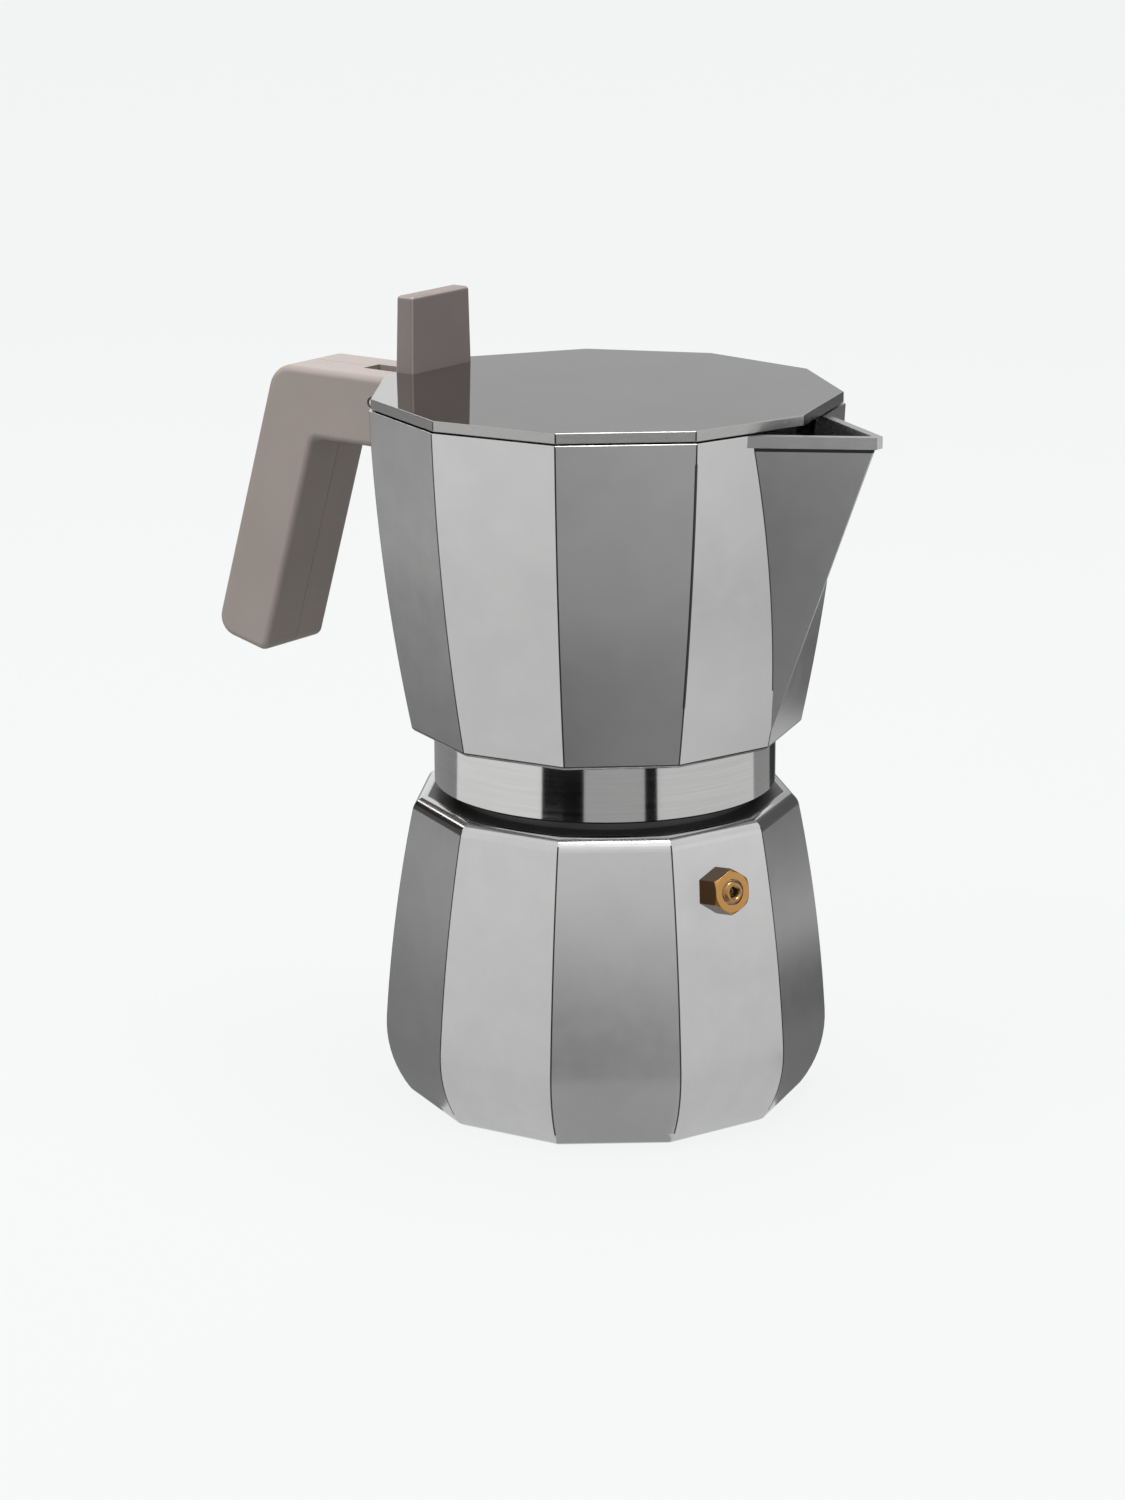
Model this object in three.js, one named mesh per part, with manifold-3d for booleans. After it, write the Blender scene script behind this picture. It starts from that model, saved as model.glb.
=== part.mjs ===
// Eleven-sided stovetop moka pot: boiler with safety valve, funnel, gasket and filter plate,
// collector with beak spout, hinged lid with knob, and a two-shell handle.
// Millimetres, +Z up. The origin is the centre of the boiler's base; the spout points along +X.

import * as THREE from 'three';
import { mergeVertices } from 'three/addons/utils/BufferGeometryUtils.js';
import Module from 'manifold-3d';

const wasm = await Module();
wasm.setup();

// ---- Driving dimensions ----

const facets = 11;                  // sides of both castings and of the lid
const seatGap = 0.3;                // rest clearance between pieces that separate or turn
const turnedSegments = 64;          // sides of the large turned faces
const smallSegments = 24;           // sides of pins, holes and small turned pieces
const holeSides = 6;                // sides of each perforation

const boiler = {
  height: 74.8,                     // base to the flat shoulder
  baseRadius: 47.2,                 // corner radii of the eleven-sided outline
  bellyRadius: 53.8,
  bellyHeight: 20,
  lowerBulge: 2,                    // how far the lower wall bows past its chord
  upperBulge: 0.95,
  shoulderRadius: 46.6,
  shoulderRoll: 1.8,                // rounding between the facets and the shoulder
  baseEdge: 0.9,
  wall: 3,
  floor: 4.5,
  neckRadius: 36.8,
  neckHeight: 13.7,
  boreRadius: 33.6,
  yaw: -2,                          // degrees the tightened boiler stands off the collector's facets
};

const valve = {
  height: 61,                       // axis at the facet, above the base
  sideOffset: -2.05,                // axis off the middle of its facet
  hexAcrossFlats: 9.5,
  hexDepth: 6.6,
  hexTurn: -5,                      // degrees the tightened hexagon stands off a corner-down position
  hexChamfer: 0.6,
  hexFaceInset: 0.05,               // round front face inside the flats
  shankRadius: 4,
  shankLength: 8,
  shankChamfer: 0.5,
  frontBore: 3.05,
  frontBoreDepth: 4.8,
  chamberRadius: 2.6,
  seatThickness: 2,                 // end wall that the ball closes
  seatHoleRadius: 1.3,
  ballRadius: 2,
  nozzleWall: 1.34,
  nozzleProud: 0.8,
  nozzleEdge: 0.9,
  springRadius: 1.5,                // coil centre line
  springWire: 0.3,
  springTurns: 3.5,
};

const funnel = {
  cupRadius: 33,
  cupDepth: 23,                     // flange to the perforated plate
  flangeRadius: 36.2,
  sheet: 1,
  coneDepth: 11,
  tubeRadius: 4.5,
  tubeWall: 0.8,
  tubeSocket: 6,                    // length of cone neck that holds the tube
  tubeEndAboveFloor: 4,
  plateThickness: 0.8,
  plateLedge: 0.9,                  // step that carries the plate
  plateMargin: 2.7,                 // plate rim with no holes
  holeRadius: 0.9,
  holePitch: 6,
};

const gasket = {
  innerRadius: 29.6,
  outerRadius: 36.4,
  thickness: 3.2,
  edge: 0.6,
};

const filterPlate = {
  thickness: 0.7,
  dish: 1.1,                        // how far the perforated middle sits below the rim
  rimWidth: 3,
  margin: 1.6,                      // flat edge of the middle with no holes
  holeRadius: 0.8,
  holePitch: 5.2,
};

const collector = {
  shoulderGap: 2.5,                 // dark gap between the boiler's shoulder and the ring
  threadGap: 1.2,                   // room for the thread between neck and ring
  ringWall: 3,
  ringHeight: 14.2,                 // visible turned ring
  lowerEdge: 0.8,                   // chamfer below the facets
  lowerRadius: 47.1,
  rimRadius: 56.45,
  chamberHeight: 76.8,              // facets' lower edge to the rim
  bulge: 1.5,
  wall: 2.6,
  floor: 4.5,
  floorCorner: 4,
  dryRecess: 1.8,                   // hollow above the filter plate
  recessMargin: 1.5,                // seat of the filter plate's rim
};

const column = {
  footRadius: 9.5,
  footEdge: 1,
  footHeight: 3,
  stemRadius: 7.9,                  // just above the foot
  topRadius: 6.6,
  height: 52,                       // above the chamber floor
  boreRadius: 3.4,
  spigotRadius: 5.5,                // pressed through the floor
  domeBulge: 1.4,
  domeThickness: 3.5,
  slotHeight: 6.5,                  // two side outlets under the dome
  slotWidth: 4.6,
};

const beak = {
  footHeight: 3.6,                  // start of the ridge above the facets' lower edge
  sideReach: 15.3,                  // half width where its walls meet the facets at the rim
  noseReach: 76.65,                 // where its walls would meet at the rim
  noseRadius: 1.5,
  wall: 1.3,
  channelFootRise: 7,               // channel starts this much higher than the ridge
  rootDepth: 6,                     // overlap with the chamber's wall
  bandHeight: 2.7,
  bandOverhang: 0.8,
  tipReach: 76.3,
};

const lid = {
  thickness: 2.5,
  inset: 0.5,                       // corner radius smaller than the rim's
  edge: 0.2,
  tongueWidth: 5,
  tongueReach: 4,                   // flat stretch behind the rear edge
  tongueRoot: 1.6,                  // tongue's underside starts this far behind the rear edge
  knuckleRadius: 3.4,
};

const hinge = {
  behindRim: 7.5,                   // pin axis outside the rear facet
  belowRim: 5.6,
  pinRadius: 1.35,
  pinClearance: 0.15,
  endRecess: 0.3,
};

const knob = {
  width: 23.2,
  thickness: 5.4,
  height: 18.5,
  edgeInset: -0.3,                  // rear face just past the lid's rear edge
  sideTaper: 0.5,                   // narrowing of each side towards the top
  faceTaper: 0.2,
  edge: 0.8,
};

const knobScrew = {
  spacing: 12,
  headRadius: 1.9,
  headHeight: 1.4,
  shankRadius: 1,
  length: 9,
  clearance: 0.25,
  slotWidth: 0.6,
  slotDepth: 0.6,
};

const handle = {
  thickness: 22.4,
  topAboveRim: 0.9,
  armHeight: 17.6,
  gripDepth: 17,
  gripAngle: 16.4,                  // degrees from the vertical
  endTilt: 3.2,                     // degrees the lower end leans from square to the grip
  gripReach: 26.5,                  // inner corner of the grip outside the rear facet
  gripLength: 58.8,                 // inner corner to the lower end, along the grip
  outerCorner: 7,
  innerCorner: 1.5,
  endOuterCorner: 5,
  endInnerCorner: 2.5,
  edge: 1.8,                        // rounding of the long edges
  wall: 2.6,
  bodyGap: 0.35,
  slotWidth: 6,
  slotMargin: 0.8,                  // slot behind the opened lid
  knuckleMargin: 0.4,               // slot below the lid's knuckle
  bossRadius: 3.6,
  bossGap: 0.4,                     // bosses clear of the lid's tongue
  ribThickness: 1.4,
  ribSeam: 1,                       // ribs stop short of the parting plane
  ribCount: 4,
};

const lug = {
  width: 12,
  height: 3.6,
  length: 20,
  corner: 1,
  root: 2,                          // overlap with the chamber's wall
  aboveArmFloor: 0.6,
};

const handleScrew = {
  inFromEnd: 5.2,                   // axis to the lug's outer end
  shankRadius: 1.75,
  headRadius: 3.2,
  recessDepth: 1.5,
  headInset: 0.2,
  clearance: 0.3,
  slotWidth: 0.8,
  slotDepth: 0.7,
};

const past = 1;                     // how far a cutting tool runs past the face it opens

// ---- Solids ----

const flatFactor = Math.cos(Math.PI / facets);
const radians = THREE.MathUtils.degToRad;

function solid(geometry) {
  const bare = new THREE.BufferGeometry();
  bare.setAttribute('position', geometry.getAttribute('position').clone());
  if (geometry.index) bare.setIndex(geometry.index.clone());
  const merged = mergeVertices(bare);
  const corners = merged.index.array;
  const kept = [];
  for (let i = 0; i < corners.length; i += 3) {
    const [a, b, c] = corners.slice(i, i + 3);
    if (a !== b && b !== c && c !== a) kept.push(a, b, c);
  }
  return new wasm.Manifold(new wasm.Mesh({
    numProp: 3,
    vertProperties: new Float32Array(merged.getAttribute('position').array),
    triVerts: new Uint32Array(kept),
  }));
}

function join(...solids) {
  return solids.reduce((sum, next) => sum.add(next));
}

function cut(body, ...tools) {
  return tools.reduce((rest, tool) => rest.subtract(tool), body);
}

function geometryOf(shape) {
  const mesh = shape.getMesh();
  const geometry = new THREE.BufferGeometry();
  geometry.setAttribute('position', new THREE.BufferAttribute(mesh.vertProperties, 3));
  geometry.setIndex(new THREE.BufferAttribute(mesh.triVerts, 1));
  geometry.computeVertexNormals();
  return geometry;
}

// Revolve a closed (radius, height) outline about a vertical axis at (x, y). A corner lies on +X.
function turned(outline, segments = turnedSegments, x = 0, y = 0) {
  const closed = outline.map(([radius, height]) => new THREE.Vector2(radius, height));
  closed.push(closed[0].clone());
  const geometry = new THREE.LatheGeometry(closed, segments, Math.PI / 2);
  geometry.rotateX(Math.PI / 2);
  geometry.translate(x, y, 0);
  return solid(geometry);
}

// Extrude a closed outline along Z between two heights.
function prism(outline, low, high, holes = []) {
  const shape = new THREE.Shape(outline.map(([x, y]) => new THREE.Vector2(x, y)));
  shape.holes = holes;
  const geometry = new THREE.ExtrudeGeometry(shape, { depth: high - low, bevelEnabled: false });
  geometry.translate(0, 0, low);
  return solid(geometry);
}

function box(low, high) {
  const size = high.map((value, axis) => value - low[axis]);
  const geometry = new THREE.BoxGeometry(...size);
  geometry.translate(...low.map((value, axis) => value + size[axis] / 2));
  return solid(geometry);
}

// Round bar between two heights on Z, placed at (x, y).
function bar(radius, low, high, x = 0, y = 0, segments = smallSegments) {
  const geometry = new THREE.CylinderGeometry(radius, radius, high - low, segments);
  geometry.rotateX(Math.PI / 2);
  geometry.translate(x, y, (low + high) / 2);
  return solid(geometry);
}

function tube(innerRadius, outerRadius, low, high) {
  return turned([
    [innerRadius, low],
    [outerRadius, low],
    [outerRadius, high],
    [innerRadius, high],
  ], smallSegments);
}

// Round bar along Y, as hinge pins and their holes lie.
function crossBar(radius, low, high, x, z) {
  const geometry = new THREE.CylinderGeometry(radius, radius, high - low, smallSegments);
  geometry.translate(x, (low + high) / 2, z);
  return solid(geometry);
}

// Skin between rings of equally many points, with flat ends. Rings run anticlockwise seen from above.
function loft(rings) {
  const count = rings[0].length;
  const positions = rings.flat(2);
  const corners = [];
  for (let level = 0; level + 1 < rings.length; level += 1) {
    for (let side = 0; side < count; side += 1) {
      const next = (side + 1) % count;
      const here = level * count;
      const above = here + count;
      corners.push(here + side, here + next, above + next);
      corners.push(here + side, above + next, above + side);
    }
  }
  const last = (rings.length - 1) * count;
  for (let side = 1; side + 1 < count; side += 1) {
    corners.push(0, side + 1, side);
    corners.push(last, last + side, last + side + 1);
  }
  const geometry = new THREE.BufferGeometry();
  geometry.setAttribute('position', new THREE.Float32BufferAttribute(positions, 3));
  geometry.setIndex(corners);
  return solid(geometry);
}

// Points of the arc from one (radius, height) point to another that bows outward past the chord.
function bowed(from, to, bulge, steps) {
  const start = new THREE.Vector2(...from);
  const chord = new THREE.Vector2(...to).sub(start);
  const outward = new THREE.Vector2(chord.y, -chord.x).normalize();
  const radius = (chord.lengthSq() / 4 + bulge * bulge) / (2 * bulge);
  const halfAngle = Math.asin(chord.length() / 2 / radius);
  const points = [];
  for (let i = 0; i <= steps; i += 1) {
    const angle = halfAngle * (2 * i / steps - 1);
    const along = chord.clone().normalize().multiplyScalar(chord.length() / 2 + radius * Math.sin(angle));
    const out = outward.clone().multiplyScalar(bulge - radius * (1 - Math.cos(angle)));
    points.push(start.clone().add(along).add(out).toArray());
  }
  return points;
}

// Quarter round from a side face onto the face above it, and from the face below onto the side.
function roundedTop(radius, height, edge, steps = 4) {
  return bowed([radius, height - edge], [radius - edge, height], edge * (1 - Math.SQRT1_2), steps);
}

function roundedBottom(radius, height, edge, steps = 4) {
  return bowed([radius - edge, height], [radius, height + edge], edge * (1 - Math.SQRT1_2), steps);
}

// Radius of an outline at a height, between its neighbouring points.
function radiusAt(outline, height) {
  for (let i = 0; i + 1 < outline.length; i += 1) {
    const [r0, z0] = outline[i];
    const [r1, z1] = outline[i + 1];
    if (height >= z0 && height <= z1) return r0 + (r1 - r0) * (height - z0) / (z1 - z0);
  }
  return height < outline[0][1] ? outline[0][0] : outline.at(-1)[0];
}

function roundedOutline(corners, steps = 4) {
  const points = [];
  corners.forEach(([x, y, radius = 0], i) => {
    const here = new THREE.Vector2(x, y);
    const before = new THREE.Vector2(...corners.at(i - 1)).sub(here).normalize();
    const after = new THREE.Vector2(...corners[(i + 1) % corners.length]).sub(here).normalize();
    if (radius === 0) {
      points.push([x, y]);
      return;
    }
    const half = Math.acos(THREE.MathUtils.clamp(before.dot(after), -1, 1)) / 2;
    const centre = before.clone().add(after).normalize().multiplyScalar(radius / Math.sin(half)).add(here);
    const first = before.multiplyScalar(radius / Math.tan(half)).add(here).sub(centre);
    const last = after.multiplyScalar(radius / Math.tan(half)).add(here).sub(centre);
    const start = first.angle();
    const turn = Math.atan2(first.cross(last), first.dot(last));
    for (let k = 0; k <= steps; k += 1) {
      const angle = start + turn * k / steps;
      points.push([centre.x + radius * Math.cos(angle), centre.y + radius * Math.sin(angle)]);
    }
  });
  return points;
}

function circleOutline(radius, count) {
  return Array.from({ length: count }, (_, i) => {
    const angle = Math.PI / 2 + 2 * Math.PI * i / count;
    return [radius * Math.cos(angle), radius * Math.sin(angle)];
  });
}

// Straight rows of round holes on a hexagonal pitch inside a circle.
function perforations(fieldRadius, holeRadius, pitch) {
  const holes = [];
  const rowPitch = pitch * Math.sin(Math.PI / 3);
  const rows = Math.floor(fieldRadius / rowPitch);
  for (let row = -rows; row <= rows; row += 1) {
    const shift = row % 2 === 0 ? 0 : pitch / 2;
    const reach = Math.ceil(fieldRadius / pitch);
    for (let column = -reach; column <= reach; column += 1) {
      const x = column * pitch + shift;
      const y = row * rowPitch;
      if (Math.hypot(x, y) > fieldRadius) continue;
      const rim = circleOutline(holeRadius, holeSides).map(([dx, dy]) => new THREE.Vector2(x + dx, y + dy));
      holes.push(new THREE.Path(rim));
    }
  }
  return holes;
}

// ---- Heights and outlines that several pieces share ----

const neckTop = boiler.height + boiler.neckHeight;
const flangeBottom = neckTop + seatGap;
const gasketBottom = flangeBottom + funnel.sheet + seatGap;
const gasketSeat = gasketBottom + gasket.thickness + seatGap;
const ringBottom = boiler.height + collector.shoulderGap;
const ringTop = ringBottom + collector.ringHeight;
const facetBottom = ringTop + collector.lowerEdge;
const rim = facetBottom + collector.chamberHeight;
const chamberFloor = gasketSeat + collector.floor;
const recessTop = gasketSeat + collector.dryRecess;
const boreRadius = boiler.neckRadius + collector.threadGap;
const ringRadius = boreRadius + collector.ringWall;
const lidBottom = rim + seatGap;
const lidTop = lidBottom + lid.thickness;

const boilerWall = [
  ...bowed([boiler.baseRadius, 0], [boiler.bellyRadius, boiler.bellyHeight], boiler.lowerBulge, 6),
  ...bowed([boiler.bellyRadius, boiler.bellyHeight],
    [boiler.shoulderRadius, boiler.height - boiler.shoulderRoll], boiler.upperBulge, 8).slice(1),
];

const collectorWall = bowed([collector.lowerRadius, facetBottom], [collector.rimRadius, rim],
  collector.bulge, 12);

// The same wall moved inward by a thickness measured square to the flats.
function innerWall(outline, thickness, low, high) {
  const inset = thickness / flatFactor;
  const middle = outline.filter(([, height]) => height > low && height < high);
  return [
    [radiusAt(outline, low) - inset, low],
    ...middle.map(([radius, height]) => [radius - inset, height]),
    [radiusAt(outline, high) - inset, high],
  ];
}

const rearFlat = -collector.rimRadius * flatFactor;
const pinX = rearFlat - hinge.behindRim;
const pinZ = rim - hinge.belowRim;

// ---- Boiler ----

const valvePlace = new THREE.Matrix4();
{
  const half = 0.5;
  const slope = (radiusAt(boilerWall, valve.height + half) - radiusAt(boilerWall, valve.height - half))
    * flatFactor;
  const onFacet = new THREE.Vector3(radiusAt(boilerWall, valve.height) * flatFactor, valve.sideOffset,
    valve.height);
  const facetTurn = new THREE.Matrix4().makeRotationZ(-Math.PI / facets);
  const upwardTilt = new THREE.Matrix4().makeRotationY(Math.atan(slope));
  const place = new THREE.Matrix4().makeTranslation(onFacet);
  valvePlace.multiplyMatrices(facetTurn, place).multiply(upwardTilt);
}

// Valve pieces are drawn along +Z, outward from the boiler's facet, and laid over onto their axis.
const valveAxis = valvePlace.clone().multiply(new THREE.Matrix4().makeRotationY(Math.PI / 2));

function makeBoiler() {
  const { wall, floor, boreRadius: bore } = boiler;
  const outside = turned([
    [0, 0],
    [boiler.baseRadius - boiler.baseEdge, 0],
    ...boilerWall.map(([radius, height]) => [radius, Math.max(height, boiler.baseEdge)]),
    ...roundedTop(boiler.shoulderRadius, boiler.height, boiler.shoulderRoll).slice(1),
    [0, boiler.height],
  ], facets);
  const shoulderUnder = boiler.height - wall;
  const neck = bar(boiler.neckRadius, shoulderUnder, neckTop, 0, 0, turnedSegments);
  const inside = innerWall(boilerWall, wall, floor + wall, shoulderUnder - wall);
  const cavity = turned([
    [0, floor],
    ...roundedBottom(inside[0][0], floor, wall),
    ...inside.slice(1),
    [bore, shoulderUnder],
    [0, shoulderUnder],
  ], facets);
  const mouth = bar(bore, shoulderUnder - wall, neckTop + past, 0, 0, turnedSegments);
  const valveRadius = valve.shankRadius + seatGap;
  const valveHole = new THREE.CylinderGeometry(valveRadius, valveRadius, 2 * valve.shankLength,
    smallSegments);
  valveHole.rotateX(Math.PI / 2);
  valveHole.applyMatrix4(valveAxis);
  return cut(join(outside, neck), cavity, mouth, solid(valveHole));
}

// ---- Safety valve, drawn along +Z from the facet outward ----

const hexBack = seatGap;
const hexFront = hexBack + valve.hexDepth;
const shankEnd = hexBack - valve.shankLength;
const ballSeat = shankEnd + valve.seatThickness;
const ballCentre = ballSeat + Math.sqrt(valve.ballRadius ** 2 - valve.seatHoleRadius ** 2) + seatGap;
const nozzleBack = hexFront - valve.frontBoreDepth + seatGap;
const nozzleFront = hexFront + valve.nozzleProud;
const springBack = ballCentre + Math.sqrt(valve.ballRadius ** 2 - valve.springRadius ** 2)
  + valve.springWire + seatGap;
const springFront = nozzleBack - valve.springWire - seatGap;

function makeValveBody() {
  const cornerRadius = valve.hexAcrossFlats / Math.sqrt(3);
  const hexagon = Array.from({ length: 6 }, (_, corner) => {
    const angle = radians(valve.hexTurn) + corner * Math.PI / 3;
    return [cornerRadius * Math.cos(angle), cornerRadius * Math.sin(angle)];
  });
  const rounding = turned([
    [0, hexBack],
    [cornerRadius, hexBack],
    [cornerRadius, hexFront - valve.hexChamfer],
    [valve.hexAcrossFlats / 2 - valve.hexFaceInset, hexFront],
    [0, hexFront],
  ], 2 * smallSegments);
  const hexHead = prism(hexagon, hexBack, hexFront).intersect(rounding);
  const shank = turned([
    [0, shankEnd],
    [valve.shankRadius - valve.shankChamfer, shankEnd],
    [valve.shankRadius, shankEnd + valve.shankChamfer],
    [valve.shankRadius, hexBack + past],
    [0, hexBack + past],
  ], smallSegments);
  return cut(join(hexHead, shank),
    bar(valve.frontBore, hexFront - valve.frontBoreDepth, hexFront + past),
    bar(valve.chamberRadius, ballSeat, hexFront),
    bar(valve.seatHoleRadius, shankEnd - past, ballSeat + past));
}

function makeValveNozzle() {
  const outer = valve.frontBore - seatGap;
  const inner = outer - valve.nozzleWall;
  return turned([
    [inner, nozzleBack],
    [outer, nozzleBack],
    ...roundedTop(outer, nozzleFront, valve.nozzleEdge, 3),
    [inner, nozzleFront],
  ], smallSegments);
}

function makeValveBall() {
  const geometry = new THREE.SphereGeometry(valve.ballRadius, 16, 10);
  geometry.translate(0, 0, ballCentre);
  return solid(geometry);
}

function makeValveSpring() {
  const turns = new THREE.Curve();
  turns.getPoint = (share) => {
    const angle = 2 * Math.PI * valve.springTurns * share;
    const height = springBack + (springFront - springBack) * share;
    return new THREE.Vector3(valve.springRadius * Math.cos(angle), valve.springRadius * Math.sin(angle),
      height);
  };
  const stepsPerTurn = 12;
  const wire = new THREE.Shape(circleOutline(valve.springWire / 2, holeSides)
    .map(([x, y]) => new THREE.Vector2(x, y)));
  return solid(new THREE.ExtrudeGeometry(wire, {
    extrudePath: turns,
    steps: Math.round(stepsPerTurn * valve.springTurns),
    bevelEnabled: false,
  }));
}

// ---- Funnel: cup with cone, tube and perforated plate ----

const cupBottom = flangeBottom - funnel.cupDepth;
const coneBottom = cupBottom - funnel.coneDepth;

function makeFunnelCup() {
  const { sheet, cupRadius, plateLedge, tubeSocket } = funnel;
  const inner = cupRadius - sheet;
  const socket = funnel.tubeRadius + seatGap;
  const coneTop = cupBottom - plateLedge;
  return turned([
    [socket, coneBottom - tubeSocket],
    [socket + sheet, coneBottom - tubeSocket],
    [socket + sheet, coneBottom],
    [cupRadius - plateLedge, coneTop],
    [cupRadius, cupBottom],
    [cupRadius, flangeBottom],
    [funnel.flangeRadius, flangeBottom],
    [funnel.flangeRadius, flangeBottom + sheet],
    [inner, flangeBottom + sheet],
    [inner, cupBottom],
    [inner - plateLedge, cupBottom],
    [inner - plateLedge, coneTop],
    [socket, coneBottom + sheet],
  ]);
}

function makeFunnelTube() {
  return tube(funnel.tubeRadius - funnel.tubeWall, funnel.tubeRadius,
    boiler.floor + funnel.tubeEndAboveFloor, coneBottom + funnel.sheet);
}

function makeFunnelPlate() {
  const radius = funnel.cupRadius - funnel.sheet - seatGap;
  const holes = perforations(radius - funnel.plateMargin, funnel.holeRadius, funnel.holePitch);
  return prism(circleOutline(radius, turnedSegments), cupBottom, cupBottom + funnel.plateThickness, holes);
}

// ---- Gasket and filter plate under the collector ----

function makeGasket() {
  const { innerRadius, outerRadius, edge } = gasket;
  const top = gasketBottom + gasket.thickness;
  return turned([
    [innerRadius, gasketBottom + edge],
    [innerRadius + edge, gasketBottom],
    [outerRadius - edge, gasketBottom],
    [outerRadius, gasketBottom + edge],
    [outerRadius, top - edge],
    [outerRadius - edge, top],
    [innerRadius + edge, top],
    [innerRadius, top - edge],
  ]);
}

function makeFilterPlate() {
  const { thickness, dish, rimWidth, margin, holeRadius, holePitch } = filterPlate;
  const top = gasketSeat - seatGap;
  const middleTop = top - dish;
  const radius = gasket.innerRadius - seatGap;
  const field = radius - rimWidth;
  const rimRing = turned([
    [field - thickness, middleTop - thickness],
    [field, middleTop - thickness],
    [field + dish, top - thickness],
    [radius, top - thickness],
    [radius, top],
    [field + dish - thickness / 2, top],
    [field - thickness, middleTop],
  ]);
  const middle = prism(circleOutline(field, turnedSegments), middleTop - thickness, middleTop,
    perforations(field - margin, holeRadius, holePitch));
  return join(rimRing, middle);
}

// ---- Collector: eleven-sided chamber, threaded ring, beak and handle lug ----

// Where the beak's walls meet the middles of the two front facets at the rim.
const beakRootX = (collector.rimRadius * flatFactor - beak.sideReach * Math.sin(Math.PI / facets))
  / flatFactor;
const beakAngle = Math.atan2(beak.sideReach, beak.noseReach - beakRootX);

// Beak seen from above, grown by an offset: a V with a rounded nose that reaches back inside the chamber.
function beakOutline(offset) {
  const apex = beak.noseReach + offset / Math.sin(beakAngle);
  const back = beakRootX - beak.rootDepth;
  const spread = (apex - back) * Math.tan(beakAngle);
  const noseRadius = Math.max(beak.noseRadius + offset, seatGap);
  return roundedOutline([
    [back, -spread],
    [apex, 0, noseRadius],
    [back, spread],
  ]);
}

// The beak narrows in a straight line down to a point on the ridge's foot.
function beakWedge(offset, footX, footZ, top) {
  const shrunk = (height) => {
    const share = (height - footZ) / (rim - footZ);
    return beakOutline(offset).map(([x, y]) => [footX + (x - footX) * share, y * share, height]);
  };
  return loft([shrunk(footZ + seatGap), shrunk(top)]);
}

// Rim band of the beak: it overhangs the walls and ends in a blunt tip.
function bandOutline() {
  const slope = Math.tan(beakAngle);
  const apex = beak.noseReach + beak.bandOverhang / Math.sin(beakAngle);
  return [
    [beakRootX - beak.bandOverhang, -(apex - beakRootX + beak.bandOverhang) * slope],
    [beak.tipReach, -(apex - beak.tipReach) * slope],
    [beak.tipReach, (apex - beak.tipReach) * slope],
    [beakRootX - beak.bandOverhang, (apex - beakRootX + beak.bandOverhang) * slope],
  ];
}

function makeCollector() {
  const outside = turned([
    [0, ringTop],
    [collector.lowerRadius - collector.lowerEdge, ringTop],
    ...collectorWall,
    [0, rim],
  ], facets);
  const ring = bar(ringRadius, ringBottom, ringTop + collector.lowerEdge, 0, 0, turnedSegments);
  const footZ = facetBottom + beak.footHeight;
  const footX = radiusAt(collectorWall, footZ);
  const beakOutside = beakWedge(0, footX, footZ, rim);
  const band = prism(bandOutline(), rim - beak.bandHeight, rim);

  const { wall, floorCorner } = collector;
  const inside = innerWall(collectorWall, wall, chamberFloor + floorCorner, rim);
  const cavity = turned([
    [0, chamberFloor],
    ...roundedBottom(inside[0][0], chamberFloor, floorCorner),
    ...inside.slice(1),
    [inside.at(-1)[0], rim + past],
    [0, rim + past],
  ], facets);
  const channel = beakWedge(-beak.wall, footX - wall, footZ + beak.channelFootRise, rim + past);

  const recessRadius = gasket.innerRadius - collector.recessMargin;
  const dryRecess = turned([
    [0, gasketSeat - past],
    [recessRadius, gasketSeat - past],
    [recessRadius, gasketSeat],
    [column.footRadius, recessTop],
    [0, recessTop],
  ]);
  const threadBore = bar(boreRadius, ringBottom - past, gasketSeat, 0, 0, turnedSegments);
  const columnHole = bar(column.spigotRadius + seatGap, gasketSeat, chamberFloor + past);

  const shell = cut(join(outside, ring, beakOutside, band), cavity, channel);
  return cut(join(shell, makeLug()), threadBore, dryRecess, columnHole);
}

function makeColumn() {
  const foot = chamberFloor + seatGap;
  const top = chamberFloor + column.height;
  const shoulder = top - column.domeThickness;
  const boreTop = shoulder - column.domeThickness / 3;
  const outside = turned([
    [0, recessTop],
    [column.spigotRadius, recessTop],
    [column.spigotRadius, foot],
    [column.footRadius, foot],
    [column.footRadius, foot + column.footEdge],
    [column.stemRadius, foot + column.footHeight],
    [column.topRadius, shoulder],
    ...bowed([column.topRadius, shoulder], [0, top], column.domeBulge, 4).slice(1),
  ], smallSegments);
  const bore = bar(column.boreRadius, recessTop - past, boreTop);
  const outlets = box([-column.footRadius, -column.slotWidth / 2, boreTop - column.slotHeight],
    [column.footRadius, column.slotWidth / 2, boreTop - seatGap]);
  return cut(outside, bore, outlets);
}

// ---- Lug, handle and hinge at the rear ----

const handleTop = rim + handle.topAboveRim;
const armBottom = handleTop - handle.armHeight;
const lugBottom = armBottom + handle.wall + lug.aboveArmFloor;
const lugTop = lugBottom + lug.height;
const lugEnd = rearFlat - lug.length;
const screwX = lugEnd + handleScrew.inFromEnd;
const screwRoom = handleScrew.shankRadius + handleScrew.clearance;
const tongueHalf = lid.tongueWidth / 2;
const pinRoom = hinge.pinRadius + hinge.pinClearance;

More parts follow.
